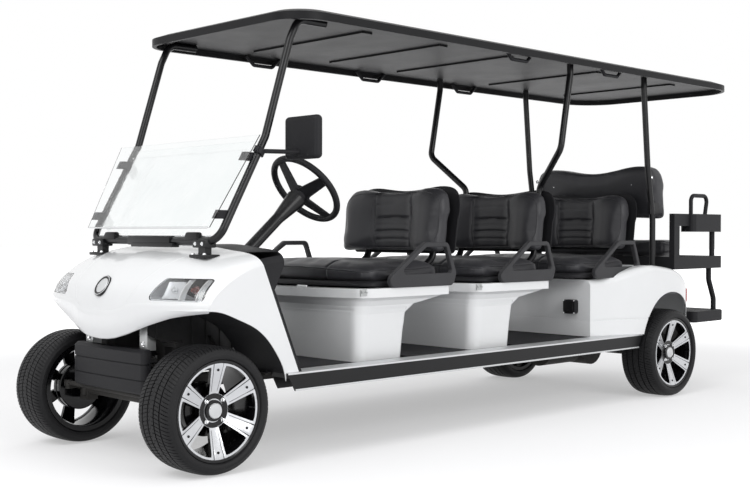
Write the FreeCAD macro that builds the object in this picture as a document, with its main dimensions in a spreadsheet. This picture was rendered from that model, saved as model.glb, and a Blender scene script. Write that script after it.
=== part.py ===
"""Golf cart with three forward benches and one rear-facing bench.

Frame: origin on the ground under the middle of the cart, front towards -Y, driver's side +X, up +Z.
"""
import FreeCAD, Part
import math
import os
import Sketcher
from types import SimpleNamespace

V = FreeCAD.Vector
Rotation = FreeCAD.Rotation
os.makedirs("parts", exist_ok=True)
doc = FreeCAD.newDocument("golf_cart")
sheet = doc.addObject("Spreadsheet::Sheet", "sizes")

SIZES = {
    # Wheels and where they stand
    "front_axle_y": -1862, "wheelbase": 3112, "front_wheel_x": 483.5, "rear_wheel_x": 547.5,
    "tyre_radius": 245.3, "tyre_width": 210, "tread_half": 84, "shoulder_drop": 16,
    "bead_radius": 178, "bead_half": 86, "sidewall_radius": 214, "bead_gap": 0.2,
    "flange_radius": 194, "flange_thick": 9, "barrel_wall": 10, "hub_radius": 52, "hub_inner": 18,
    "hub_outer": 62, "cap_radius": 32, "cap_length": 24, "spoke_inner": 46, "spoke_outer": 74,
    "spoke_root": 26, "spoke_tip": 64, "groove_root": 5, "groove_tip": 22, "rim_ring": 16,
    "spindle_radius": 18, "running_clearance": 0.08, "end_clearance": 0.4,
    # Front suspension and steering linkage
    "kingpin_x": 400, "kingpin_radius": 11, "knuckle_radius": 24, "knuckle_half": 36,
    "ear_thick": 14, "axle_beam_radius": 26, "steering_arm": 84, "arm_width": 26, "arm_thick": 13,
    "ball_radius": 7, "tie_rod_z": 270, "tie_rod_radius": 10, "tie_eye_radius": 17, "tie_eye_half": 12,
    "open_pivot_clearance": 1.5,
    "damper_x": 300, "damper_radius": 20, "damper_top": 470, "damper_eye": 12, "coil_wire": 5,
    "coil_turns": 6,
    # Rear axle and its heavy masses
    "rear_tube_radius": 32, "drum_radius": 105, "drum_width": 50, "motor_radius": 95,
    "motor_length": 300, "diff_radius": 110, "diff_width": 170,
    "spring_x": 330, "spring_half": 430, "spring_width": 50, "spring_thick": 18, "spring_sag": 70,
    "battery_x": 780, "battery_y": 232, "battery_z": 215,
    # Chassis, its ends measured from the front and the rear axle
    "rail_x": 215, "rail_width": 50, "rail_height": 52, "rail_bottom": 292, "rail_ahead": 86,
    "rail_behind": 650, "cross_width": 40, "outrigger_height": 40,
    # Floor and sills, from the front axle, and the sill's end from the rear one
    "floor_top": 354, "floor_thick": 8, "floor_start": 302, "mat_thick": 6, "mat_margin": 24,
    "toe_rise": 150, "toe_run": 130, "toe_half": 290,
    "sill_x": 588, "sill_top": 361, "sill_bottom": 289, "sill_width": 112, "sill_start": 327,
    "sill_short": 238, "sill_cut": 38, "sill_wall": 5, "sill_groove": 8, "sill_groove_depth": 3,
    # Seat rows: the first from the front axle, each later size from its own row
    "row_one_in": 768, "row_pitch_one": 765, "row_pitch_two": 790,
    "base_half": 448, "base_top": 676, "base_lip": 38, "lip_half": 500, "lip_corner": 90,
    "lip_front_out": 13, "lip_length": 649, "lip_bow": 62, "lip_ledge": 52, "base_front_in": 52,
    "base_depth": 300, "base_corner": 55, "base_bow": 16, "base_wall": 5,
    "slot_z": 580, "slot_height": 12, "slot_depth": 3, "slot_half": 425, "side_slot_in": 175,
    "side_slot_length": 190,
    "cushion_half": 466, "cushion_thick": 94, "cushion_front_in": 44, "cushion_rear_in": 626,
    "cushion_bow": 56, "cushion_corner": 80, "hinge_radius": 4.5, "hinge_length": 60,
    "hinge_x": 130, "hinge_in": 26,
    "back_half": 356, "back_bottom": 818, "back_top": 1150, "back_thick": 76, "back_front_in": 696,
    "back_lean": 46, "back_dip": 16, "back_edge": 16, "shell_thick": 6, "back_corner": 60,
    "back_tube_x": 230,
    "hip_x": 486, "hip_width": 26, "hip_front_in": 145, "hip_top_front_in": 437,
    "hip_top_rear_in": 593, "hip_max_in": 650, "hip_rear_in": 629, "hip_top": 878, "hip_max_z": 735,
    "hip_bar": 22, "hip_panel_top": 735, "hip_corner": 30, "hip_edge": 6,
    # Nose, from the front axle
    "nose_ahead": 178, "cowl_half": 577, "cowl_wall": 4, "hood_top": 872, "hood_fall": 58,
    "nose_sweep": 118, "cowl_top_end": 172, "cowl_low_end": 428, "cowl_low": 300,
    "arch_inner_x": 262, "arch_reach": 342, "lip_z": 492, "lip_rise": 134, "liner_thick": 4,
    "liner_inner_x": 300,
    "lamp_in_x": 303, "lamp_in_top_x": 350, "lamp_out_x": 561, "lamp_low": 660, "lamp_high": 745,
    "lamp_depth": 46, "lamp_rim": 10,
    "bumper_half": 270, "bumper_low": 286, "bumper_high": 462, "bumper_ahead": 142,
    "bumper_depth": 46, "bumper_corner": 24, "bumper_groove": 5,
    # Dashboard, from the front axle
    "dash_top": 862, "dash_start": 176, "dash_end": 317, "dash_depth": 210, "dash_wall": 6,
    "trim_width": 15, "trim_depth": 14,
    # Rear body, from the third row and the rear axle
    "body_front_in": 204, "body_behind": 340, "body_front_half": 484, "fender_half": 600,
    "body_wall": 5, "body_front_top": 668, "fender_top": 736, "body_edge": 38, "step_line_z": 450,
    "step_line_height": 7, "step_line_depth": 3, "rear_arch_radius": 286, "rear_arch_back": 50,
    "rear_arch_z": 300, "shelf_half": 516, "shelf_length": 477,
    "tail_lamp_z": 580, "tail_lamp_height": 96, "tail_lamp_width": 32, "tail_lamp_behind": 242,
    "tail_lamp_thick": 4,
    # Rear-facing bench, from the rear axle
    "rear_back_behind": 97, "rear_back_in": 80, "rear_back_low": 997, "rear_back_high": 1318,
    "rear_back_thick": 146, "rear_back_foot": 108, "rear_back_lean": 73, "rear_back_dip": 24,
    "rear_seat_start": 220, "rear_seat_end": 440, "rear_seat_in": 74, "rear_seat_thick": 94,
    "deck_start": 202, "deck_end": 744, "deck_half": 520, "deck_rail": 74, "deck_top": 781,
    "deck_width": 34, "arm_start": 372, "arm_end": 710, "arm_top": 1034, "arm_depth": 106,
    "rest_width": 98, "rest_out": 28, "arm_post": 58, "cup_radius": 37, "cup_depth": 84,
    "grab_start": 420, "grab_end": 611, "grab_high": 1145, "grab_radius": 12,
    "step_start": 473, "step_end": 820, "step_half": 500, "step_top": 447, "step_thick": 68,
    "step_tube_radius": 16, "step_groove": 10, "stay_x": 445,
    # Roof and posts, from the axle or row beside them
    "roof_start": 386, "roof_behind": 858, "roof_over": 106, "roof_low": 1788, "roof_rim": 33,
    "roof_crown": 26, "roof_skin": 6, "roof_front_corner": 154, "roof_rear_corner": 240,
    "roof_lip": 16, "roof_rib": 60, "roof_rib_depth": 8,
    "post_radius": 17, "hoop_radius": 16, "hoop_half": 465, "hoop_foot_in": 76, "hoop_foot_z": 887,
    "hoop_knee_in": 311, "hoop_knee_z": 1308, "hoop_neck_in": 460, "hoop_run": 150,
    "hoop_drop": 22, "bend_radius": 60,
    "mid_post_half": 464, "mid_post_top_in": 832, "mid_post_bend_in": 754, "mid_post_bend_z": 1363,
    "mid_post_low_half": 262, "mid_post_low_z": 1168,
    "rear_post_half": 429, "rear_post_top_in": 14, "rear_post_bend_in": 57,
    "rear_post_bend_z": 1307, "rear_post_foot_in": 112, "rear_post_foot_z": 640,
    "handle_in": 325, "handle_drop": 45, "handle_length": 214, "handle_grip": 120,
    "handle_radius": 9, "handle_margin": 44,
    # Windshield
    "pane_thick": 5, "lower_pane_low": 905, "lower_pane_high": 1290,
    "stored_pane_low": 941, "stored_pane_high": 1309, "stored_gap": 58, "stored_low_in": 13,
    "stored_high_out": 42, "clip_width": 26, "clip_height": 34, "foot_width": 44, "foot_in": 85,
    # Steering wheel, column, mirror, pedals, socket
    "wheel_x": 260, "wheel_in": 700, "wheel_z": 1112, "wheel_radius": 168, "wheel_grip": 14.5,
    "wheel_hub": 42, "wheel_hub_length": 44, "wheel_dish": 45, "spoke_width": 62, "spoke_thick": 9,
    "spoke_turn": 75, "column_angle": 40, "column_radius": 26, "column_start": 70,
    "column_length": 498,
    "shroud_radius": 44, "shroud_length": 130, "shaft_radius": 10,
    "mirror_out": 82, "mirror_in": 422, "mirror_z": 1306, "mirror_width": 204,
    "mirror_height": 176, "mirror_thick": 42, "mirror_clamp": 26,
    "pedal_x": 205, "pedal_in": 272, "pedal_width": 70, "pedal_height": 90, "pedal_thick": 12,
    "socket_x": 368, "socket_z": 520, "socket_size": 76, "socket_depth": 34,
    "seat_gap": 0.3, "overrun": 20,
}


class Size:
    """A length, with the sheet formula that gives it."""

    def __init__(self, value, formula):
        self.value = float(value)
        self.formula = formula

    def joined(self, sign, other, value):
        text = other.formula if isinstance(other, Size) else repr(float(other))
        return Size(value, "(" + self.formula + " " + sign + " " + text + ")")

    def __add__(self, other):
        return self.joined("+", other, self.value + float(other))

    def __sub__(self, other):
        return self.joined("-", other, self.value - float(other))

    def __mul__(self, other):
        return self.joined("*", other, self.value * float(other))

    def __rmul__(self, other):
        return self * other

    def __truediv__(self, other):
        return self.joined("/", other, self.value / float(other))

    def __neg__(self):
        return Size(-self.value, "(-1 * " + self.formula + ")")

    def __float__(self):
        return self.value


def fill_sheet():
    """Write every size into the sheet and hand back one Size per alias."""
    for row, (alias, value) in enumerate(SIZES.items(), start=1):
        sheet.set(f"A{row}", alias)
        sheet.set(f"B{row}", str(value))
        sheet.setAlias(f"B{row}", alias)
    doc.recompute()
    return SimpleNamespace(**{a: Size(sheet.get(a), "sizes." + a) for a in SIZES})


s = fill_sheet()
rear_axle_y = s.front_axle_y + s.wheelbase
axle_z = s.tyre_radius
row_one = s.front_axle_y + s.row_one_in
row_y = [row_one, row_one + s.row_pitch_one, row_one + s.row_pitch_one + s.row_pitch_two]
floor_low = s.floor_top - s.floor_thick
floor_front = s.front_axle_y + s.floor_start
rail_top = s.rail_bottom + s.rail_height
sill_front = s.front_axle_y + s.sill_start
nose_y = s.front_axle_y - s.nose_ahead
body_front = row_y[2] + s.body_front_in
body_rear = rear_axle_y + s.body_behind
body_low = s.sill_top + s.seat_gap
roof_half = s.hoop_half + s.roof_over
zero = s.tyre_radius * 0
sides = (1, -1)
nodes = []


def keep(obj, label):
    """Name a finished sub-part after its file."""
    obj.Label = label
    nodes.append(obj)
    return obj


def bind(obj, prop, size):
    obj.setExpression(prop, size.formula)


def place(obj, x, y, z):
    for axis, size in zip("xyz", (x, y, z)):
        bind(obj, "Placement.Base." + axis, size)


def vec(x, y, z):
    return V(float(x), float(y), float(z))


def box(name, low, high):
    """A box between two corners given in sizes."""
    obj = doc.addObject("Part::Box", name)
    for prop, a, b in zip(("Length", "Width", "Height"), low, high):
        bind(obj, prop, b - a)
    place(obj, *low)
    return obj


TURNS = {"x": Rotation(V(0, 1, 0), 90), "y": Rotation(V(1, 0, 0), -90), "z": Rotation()}


def cylinder(name, centre, axis, radius, length):
    """A cylinder that starts at centre and runs along an axis."""
    obj = doc.addObject("Part::Cylinder", name)
    obj.Placement = FreeCAD.Placement(V(), TURNS[axis])
    bind(obj, "Radius", radius)
    bind(obj, "Height", length)
    place(obj, *centre)
    return obj


def fuse(name, parts):
    obj = doc.addObject("Part::MultiFuse", name)
    obj.Shapes = parts
    return obj


def cut(name, base, tool):
    obj = doc.addObject("Part::Cut", name)
    obj.Base = base
    obj.Tool = tool
    return obj


def group(name, parts):
    """Separate solids kept together as one sub-part."""
    obj = doc.addObject("Part::Compound", name)
    obj.Links = parts
    return obj


def feature(name, shape):
    obj = doc.addObject("Part::Feature", name)
    obj.Shape = shape
    return obj


def polygon(points):
    loop = [vec(*p) for p in points]
    return Part.makePolygon(loop + loop[:1])


def extrude(points, direction):
    """A prism from a closed outline of points."""
    return Part.Face(polygon(points)).extrude(vec(*direction))


def rounded_route(points, radius):
    """Straight runs joined by tangent arcs."""
    corners = [vec(*p) for p in points]
    edges, start = [], corners[0]
    for before, corner, after in zip(corners, corners[1:], corners[2:]):
        back, ahead = (before - corner).normalize(), (after - corner).normalize()
        half = math.acos(max(-1.0, min(1.0, back.dot(ahead)))) / 2
        reach = min(float(radius) / math.tan(half), (before - corner).Length * 0.45,
                    (after - corner).Length * 0.45)
        middle = (back + ahead).normalize()
        arc_radius = reach * math.tan(half)
        first, last = corner + back * reach, corner + ahead * reach
        top = corner + middle * (arc_radius / math.sin(half) - arc_radius)
        edges.append(Part.LineSegment(start, first).toShape())
        edges.append(Part.Arc(first, top, last).toShape())
        start = last
    edges.append(Part.LineSegment(start, corners[-1]).toShape())
    return Part.Wire(edges)


def tube(points, radius, bend):
    """A round bar along a bent route."""
    route = rounded_route(points, bend)
    start, second = vec(*points[0]), vec(*points[1])
    ring = Part.Wire([Part.makeCircle(float(radius), start, second - start)])
    solid = route.makePipeShell([ring], True, False)
    return solid if solid.ShapeType == "Solid" else Part.Solid(solid)


def mirrored(shape):
    return shape.mirror(V(0, 0, 0), V(1, 0, 0))


def both(shape):
    """A shape on the driver's side and its twin on the other."""
    return Part.makeCompound([shape, mirrored(shape)])


def spline(points):
    curve = Part.BSplineCurve()
    curve.interpolate([vec(*p) for p in points])
    return curve.toShape()


def rounded_plan(x_half, y_front, y_rear, front_corner, rear_corner, z, bow=0):
    """A closed rounded rectangle seen from above, its front edge bowed forward at the middle."""
    w, f, r = float(x_half), float(y_front), float(y_rear)
    a, b, z = float(front_corner), float(rear_corner), float(z)
    turn = 2 * math.atan2(float(bow), w - a)
    end_x = w - a + a * math.sin(turn)
    end_y = f + (end_x * math.tan(turn / 2) if turn else 0)
    corner_y = end_y + a * math.cos(turn)
    lean = (turn - math.pi / 2) / 2
    q = math.sqrt(0.5)
    mid_x, mid_y = w - a + a * math.cos(lean), corner_y + a * math.sin(lean)
    left, right = V(-end_x, end_y, z), V(end_x, end_y, z)
    front = Part.Arc(right, V(0, f, z), left) if turn else Part.LineSegment(right, left)
    edges = [
        Part.Arc(V(w, corner_y, z), V(mid_x, mid_y, z), right), front,
        Part.Arc(left, V(-mid_x, mid_y, z), V(-w, corner_y, z)),
        Part.LineSegment(V(-w, corner_y, z), V(-w, r - b, z)),
        Part.Arc(V(-w, r - b, z), V(-w + b - b * q, r - b + b * q, z), V(-w + b, r, z)),
        Part.LineSegment(V(-w + b, r, z), V(w - b, r, z)),
        Part.Arc(V(w - b, r, z), V(w - b + b * q, r - b + b * q, z), V(w, r - b, z)),
        Part.LineSegment(V(w, r - b, z), V(w, corner_y, z)),
    ]
    return Part.Wire([edge.toShape() for edge in edges])


def rounded_loop(points, radius):
    """A closed outline whose corners are arcs."""
    corners = [vec(*p) for p in points]
    count = len(corners)
    arcs = []
    for index, corner in enumerate(corners):
        before, after = corners[index - 1], corners[(index + 1) % count]
        back, ahead = (before - corner).normalize(), (after - corner).normalize()
        half = math.acos(max(-1.0, min(1.0, back.dot(ahead)))) / 2
        reach = min(float(radius) / math.tan(half), (before - corner).Length * 0.45,
                    (after - corner).Length * 0.45)
        bulge = reach * math.tan(half) * (1 / math.sin(half) - 1)
        top = corner + (back + ahead).normalize() * bulge
        arcs.append((corner + back * reach, top, corner + ahead * reach))
    edges = []
    for index, (first, top, last) in enumerate(arcs):
        edges.append(Part.Arc(first, top, last).toShape())
        edges.append(Part.LineSegment(last, arcs[(index + 1) % count][0]).toShape())
    return Part.Wire(edges)


def largest(shape):
    """The biggest solid of a cut shape."""
    return sorted(shape.Solids, key=lambda part: part.Volume)[-1]


def slab(x_half, low, high):
    """A block across the cart between two corners given as y and z."""
    size = [float(b - a) for a, b in zip(low, high)]
    return Part.makeBox(float(x_half * 2), *size, vec(-x_half, *low))


# Wheels: a revolved tyre and a spoked rim, each drawn in its own frame and then placed
def profile_sketch(body, name, plane, outline):
    """A closed sketch whose corners are bound to the sheet."""
    sketch = body.newObject("Sketcher::SketchObject", name)
    origin = next(f for f in body.Origin.OriginFeatures if f.Role == plane)
    sketch.AttachmentSupport = [(origin, "")]
    sketch.MapMode = "FlatFace"
    points = [V(float(a), float(b), 0) for a, b in outline]
    for start, end in zip(points, points[1:] + points[:1]):
        sketch.addGeometry(Part.LineSegment(start, end))
    count = len(points)
    for index in range(count):
        sketch.addConstraint(Sketcher.Constraint("Coincident", index, 2, (index + 1) % count, 1))
    for index, pair in enumerate(outline):
        for kind, size in zip(("DistanceX", "DistanceY"), pair):
            number = sketch.addConstraint(
                Sketcher.Constraint(kind, -1, 1, index, 1, float(size)))
            sketch.setExpression(f"Constraints[{number}]", size.formula)
    return sketch


def revolved_body(name, outline):
    """A body turned about its own X axis, drawn as distance along it and radius."""
    body = doc.addObject("PartDesign::Body", name)
    sketch = profile_sketch(body, name + "_profile", "XY_Plane", outline)
    turn = body.newObject("PartDesign::Revolution", name + "_turn")
    turn.Profile = sketch
    turn.ReferenceAxis = (sketch, ["H_Axis"])
    turn.Angle = 360
    body.Tip = turn
    return body


def tyre(name, x, y):
    half = s.tyre_width / 2
    side = [(s.bead_half, s.bead_radius + s.bead_gap),
            (s.bead_half, s.flange_radius + s.end_clearance), (half, s.sidewall_radius),
            (half, s.tyre_radius - s.shoulder_drop), (s.tread_half, s.tyre_radius)]
    outline = side + [(-a, r) for a, r in reversed(side)]
    body = revolved_body(name, outline)
    place(body, x, y, axle_z)
    return keep(body, name)


def turned(point, angle):
    """A point of the wheel face turned about the axle."""
    c, d = math.cos(math.radians(angle)), math.sin(math.radians(angle))
    return point[0] * c - point[1] * d, point[0] * d + point[1] * c


def rim_pockets(body, name, outlines, depth):
    """Openings through the wheel face, each set repeated six times."""
    axis = next(f for f in body.Origin.OriginFeatures if f.Role == "X_Axis")
    for index, outline in enumerate(outlines):
        sketch = profile_sketch(body, f"{name}_window_{index}", "YZ_Plane", outline)
        pocket = body.newObject("PartDesign::Pocket", f"{name}_pocket_{index}")
        pocket.Profile = sketch
        pocket.Midplane = True
        bind(pocket, "Length", depth)
        pattern = body.newObject("PartDesign::PolarPattern", f"{name}_spokes_{index}")
        pattern.Originals = [pocket]
        pattern.Axis = (axis, [""])
        pattern.Angle = 360
        pattern.Occurrences = 6
        body.Tip = pattern


def rim(name, x, y, outward):
    """Barrel, flanges and a dished face with six double spokes."""
    inner = s.bead_radius - s.barrel_wall
    flange_in = s.bead_half + s.bead_gap
    flange_out = flange_in + s.flange_thick
    outline = [
        (-flange_out, inner), (-flange_out, s.flange_radius), (-flange_in, s.flange_radius),
        (-flange_in, s.bead_radius), (flange_in, s.bead_radius), (flange_in, s.flange_radius),
        (flange_out, s.flange_radius), (flange_out, inner + s.flange_thick),
        (s.spoke_outer, inner), (s.hub_outer, s.hub_radius), (s.hub_outer, s.cap_radius),
        (s.hub_outer + s.cap_length, s.cap_radius), (s.hub_outer + s.cap_length, zero),
        (s.hub_outer, zero), (s.hub_outer - s.end_clearance, s.spindle_radius + s.running_clearance),
        (s.hub_inner, s.spindle_radius + s.running_clearance), (s.hub_inner, s.hub_radius),
        (s.spoke_inner, inner),
    ]
    outline = [(p if outward > 0 else (-p[0], p[1])) for p in outline]
    body = revolved_body(name, outline)
    root, tip = s.hub_radius + s.rim_ring / 2, inner - s.rim_ring / 2
    half_pitch = math.tan(math.pi / 6)
    side = tip * math.cos(math.pi / 6)
    window = [(root * half_pitch - s.spoke_root / 2, root), (side * half_pitch - s.spoke_tip / 2, side),
              (zero, tip), (side * -half_pitch + s.spoke_tip / 2, side),
              (root * -half_pitch + s.spoke_root / 2, root)]
    groove = [(s.groove_root / 2, root + s.rim_ring), (s.groove_tip / 2, side),
              (s.groove_tip / -2, side), (s.groove_root / -2, root + s.rim_ring)]
    groove = [turned(p, 30) for p in groove]
    rim_pockets(body, name, (window, groove), (s.flange_thick + s.spoke_outer) * 2)
    place(body, x, y, axle_z)
    return keep(body, name)


for tag, x, y in (("front", s.front_wheel_x, s.front_axle_y), ("rear", s.rear_wheel_x, rear_axle_y)):
    for side in sides:
        end = "left" if side > 0 else "right"
        tyre(f"tyre_{tag}_{end}", x * side, y)
        rim(f"rim_{tag}_{end}", x * side, y, side)


# Front suspension: beam with forked ends, knuckles, tie rod
def front_axle():
    pin_low = axle_z - s.knuckle_half - s.ear_thick - s.end_clearance
    parts = [cylinder("beam", (-s.kingpin_x + s.knuckle_radius * 2, s.front_axle_y, axle_z), "x",
                      s.axle_beam_radius, (s.kingpin_x - s.knuckle_radius * 2) * 2)]
    fork_in = s.kingpin_x - s.knuckle_radius * 2 - s.ear_thick
    for side in sides:
        for sign in sides:
            ear_in = axle_z + (s.knuckle_half + s.end_clearance) * sign
            ear_out = ear_in + s.ear_thick * sign
            z_pair = (ear_in, ear_out) if sign > 0 else (ear_out, ear_in)
            x_pair = (fork_in, s.kingpin_x) if side > 0 else (-s.kingpin_x, -fork_in)
            parts.append(box("ear", (x_pair[0], s.front_axle_y - s.knuckle_radius, z_pair[0]),
                             (x_pair[1], s.front_axle_y + s.knuckle_radius, z_pair[1])))
            parts.append(cylinder("ear_end", (s.kingpin_x * side, s.front_axle_y, z_pair[0]), "z",
                                  s.knuckle_radius, s.ear_thick))
        web = (fork_in, fork_in + s.ear_thick) if side > 0 else (-fork_in - s.ear_thick, -fork_in)
        half = s.knuckle_half + s.ear_thick
        parts.append(box("web", (web[0], s.front_axle_y - s.knuckle_radius, axle_z - half),
                         (web[1], s.front_axle_y + s.knuckle_radius, axle_z + half)))
        parts.append(cylinder("kingpin", (s.kingpin_x * side, s.front_axle_y, pin_low), "z",
                              s.kingpin_radius, (s.knuckle_half + s.ear_thick + s.end_clearance) * 2))
    keep(fuse("front_axle", parts), "front_axle")


def knuckle(name, side):
    x = s.kingpin_x * side
    stub = s.front_wheel_x - s.kingpin_x + s.hub_outer - s.end_clearance * 2
    sleeve = cylinder(name + "_sleeve", (x, s.front_axle_y, axle_z - s.knuckle_half), "z",
                      s.knuckle_radius, s.knuckle_half * 2)
    start = x if side > 0 else x - stub
    spindle = cylinder(name + "_spindle", (start, s.front_axle_y, axle_z), "x",
                       s.spindle_radius, stub)
    arm_top = s.tie_rod_z - s.tie_eye_half - s.end_clearance
    ball_y = s.front_axle_y - s.steering_arm
    arm = box(name + "_arm", (x - s.arm_width / 2, ball_y, arm_top - s.arm_thick),
              (x + s.arm_width / 2, s.front_axle_y, arm_top))
    arm_end = cylinder(name + "_arm_end", (x, ball_y, arm_top - s.arm_thick), "z",
                       s.arm_width / 2, s.arm_thick)
    ball = cylinder(name + "_ball", (x, ball_y, arm_top - s.arm_thick), "z", s.ball_radius,
                    s.arm_thick + s.tie_eye_half * 2 + s.end_clearance * 2)
    bore = cylinder(name + "_bore", (x, s.front_axle_y, axle_z - s.knuckle_half - s.overrun), "z",
                    s.kingpin_radius + s.running_clearance, s.knuckle_half * 2 + s.overrun * 2)
    keep(cut(name, fuse(name + "_blank", [sleeve, spindle, arm, arm_end, ball]), bore), name)


def tie_rod():
    ball_y = s.front_axle_y - s.steering_arm
    eye_low = s.tie_rod_z - s.tie_eye_half
    rod = cylinder("rod", (-s.kingpin_x + s.ball_radius * 2, ball_y, s.tie_rod_z), "x",
                   s.tie_rod_radius, (s.kingpin_x - s.ball_radius * 2) * 2)
    eyes, holes = [rod], []
    for side, clearance in ((1, s.running_clearance), (-1, s.open_pivot_clearance)):
        eyes.append(cylinder("eye", (s.kingpin_x * side, ball_y, eye_low), "z", s.tie_eye_radius,
                             s.tie_eye_half * 2))
        holes.append(cylinder("hole", (s.kingpin_x * side, ball_y, eye_low - s.overrun), "z",
                              s.ball_radius + clearance, s.tie_eye_half * 2 + s.overrun * 2))
    keep(cut("tie_rod", fuse("tie_rod_blank", eyes), fuse("tie_rod_holes", holes)), "tie_rod")


front_axle()
knuckle("knuckle_left", 1)
knuckle("knuckle_right", -1)
tie_rod()


# Chassis: two rails, cross members, bumper and damper brackets
def chassis():
    rails = []
    rail_front = s.front_axle_y - s.rail_ahead
    rail_rear = rear_axle_y + s.rail_behind
    for side in sides:
        edges = (s.rail_x - s.rail_width / 2, s.rail_x + s.rail_width / 2)
        x_pair = edges if side > 0 else (-edges[1], -edges[0])
        rails.append(box("rail", (x_pair[0], rail_front, s.rail_bottom),
                         (x_pair[1], rail_rear, rail_top)))
        foot = (s.damper_x - s.cross_width / 2, s.damper_x + s.cross_width / 2)
        tower = foot if side > 0 else (-foot[1], -foot[0])
        rails.append(box("tower", (x_pair[0] if side > 0 else tower[0],
                                   s.front_axle_y - s.cross_width / 2, s.damper_top),
                         (tower[1] if side > 0 else x_pair[1],
                          s.front_axle_y + s.cross_width / 2, s.damper_top + s.ear_thick)))
        rails.append(box("tower_leg", (x_pair[0], s.front_axle_y - s.cross_width / 2, rail_top),
                         (x_pair[1], s.front_axle_y + s.cross_width / 2, s.damper_top + s.ear_thick)))
    inner = s.rail_x - s.rail_width / 2
    stations = [rail_front, s.front_axle_y + s.cross_width * 3, row_y[0], row_y[1], row_y[2],
                body_front + s.cross_width, rear_axle_y - s.spring_half - s.cross_width * 1.5,
                rail_rear - s.cross_width]
    for y in stations:
        rails.append(box("cross", (-inner, y, s.rail_bottom), (inner, y + s.cross_width, rail_top)))
    hanger_top = axle_z + s.rear_tube_radius + s.spring_sag + s.spring_thick
    reach = s.spring_half + s.seat_gap
    for y in (rear_axle_y - reach - s.cross_width, rear_axle_y + reach):
        for side in sides:
            end = s.spring_x + s.spring_width / 2
            x_pair = (inner, end) if side > 0 else (-end, -inner)
            rails.append(box("spring_hanger", (x_pair[0], y, s.rail_bottom),
                             (x_pair[1], y + s.cross_width, hanger_top)))
    reach = s.sill_x - s.sill_width
    for y in (row_y[0], row_y[1], row_y[2]):
        for side in sides:
            x_pair = (s.rail_x, reach) if side > 0 else (-reach, -s.rail_x)
            rails.append(box("outrigger", (x_pair[0], y, floor_low - s.outrigger_height),
                             (x_pair[1], y + s.cross_width, floor_low)))
    keep(fuse("chassis_frame", rails), "chassis_frame")


chassis()


def dampers():
    """Coil-over units between the beam and the towers."""
    foot = axle_z + s.axle_beam_radius * 0.8
    low, high = foot + s.damper_eye * 2, s.damper_top - s.damper_eye
    body = Part.makeCylinder(float(s.damper_radius), float(high - low),
                             vec(s.damper_x, s.front_axle_y, low))
    eye = Part.makeCylinder(float(s.damper_eye), float(s.damper_top - s.seat_gap - foot),
                            vec(s.damper_x, s.front_axle_y, foot))
    turns = int(float(s.coil_turns))
    pitch = float(high - low) / turns
    coil = []
    for index in range(turns):
        ring = Part.makeTorus(float(s.damper_radius + s.coil_wire), float(s.coil_wire))
        ring.rotate(V(), V(0, 1, 0), math.degrees(math.atan2(pitch / 2, float(s.damper_radius * 2))))
        ring.translate(vec(s.damper_x, s.front_axle_y, low + pitch * (index + 0.5)))
        coil.append(ring)
    seat = Part.makeCylinder(float(s.axle_beam_radius + s.seat_gap), float(s.kingpin_x),
                             vec(zero, s.front_axle_y, axle_z), V(1, 0, 0))
    unit = body.fuse([eye] + coil).cut(seat)
    keep(feature("front_dampers", both(largest(unit))), "front_dampers")


dampers()


# Rear axle with drums, differential and motor
def rear_axle():
    inner = s.rear_wheel_x + s.hub_inner - s.end_clearance * 2
    end = s.rear_wheel_x + s.hub_outer - s.end_clearance * 2
    diff_x = -s.diff_width / 2
    parts = [
        cylinder("axle_tube", (-s.spring_x - s.drum_width, rear_axle_y, axle_z), "x",
                 s.rear_tube_radius, (s.spring_x + s.drum_width) * 2),
        cylinder("half_shafts", (-end, rear_axle_y, axle_z), "x", s.spindle_radius, end * 2),
        cylinder("differential", (diff_x, rear_axle_y, axle_z), "x", s.diff_radius, s.diff_width),
    ]
    for side in sides:
        drum_in = s.rear_wheel_x + s.hub_inner - s.drum_width - s.end_clearance * 4
        start = drum_in if side > 0 else -drum_in - s.drum_width
        neck = s.spring_x if side > 0 else -drum_in
        parts.append(cylinder("drum", (start, rear_axle_y, axle_z), "x", s.drum_radius, s.drum_width))
        parts.append(cylinder("neck", (neck, rear_axle_y, axle_z), "x", s.rear_tube_radius,
                              drum_in - s.spring_x))
    keep(fuse("rear_axle", parts), "rear_axle")
    front = rear_axle_y - s.diff_radius - s.seat_gap - s.motor_length
    keep(cylinder("drive_motor", (zero, front, axle_z), "y", s.motor_radius, s.motor_length),
         "drive_motor")


rear_axle()


def leaf_springs():
    """One bowed leaf pack each side, clamped over the axle tube."""
    top = axle_z + s.rear_tube_radius + s.seat_gap
    packs = []
    for side in sides:
        x = float(s.spring_x) * side - float(s.spring_width) / 2
        y, half = float(rear_axle_y), float(s.spring_half)
        low, high, thick = float(top), float(top + s.spring_sag), float(s.spring_thick)
        lower = Part.Arc(V(x, y - half, high), V(x, y, low), V(x, y + half, high)).toShape()
        upper = Part.Arc(V(x, y + half, high + thick), V(x, y, low + thick),
                         V(x, y - half, high + thick)).toShape()
        caps = [Part.makeLine(V(x, y + half, high), V(x, y + half, high + thick)),
                Part.makeLine(V(x, y - half, high + thick), V(x, y - half, high))]
        face = Part.Face(Part.Wire([lower, caps[0], upper, caps[1]]))
        packs.append(face.extrude(V(float(s.spring_width), 0, 0)))
    keep(feature("rear_springs", Part.makeCompound(packs)), "rear_springs")


leaf_springs()

battery_front = row_y[0] + s.base_front_in + s.base_bow + s.base_wall * 4
keep(box("battery_block", (-s.battery_x / 2, battery_front, s.floor_top + s.base_wall),
         (s.battery_x / 2, battery_front + s.battery_y, s.floor_top + s.base_wall + s.battery_z)),
     "battery_block")


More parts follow.
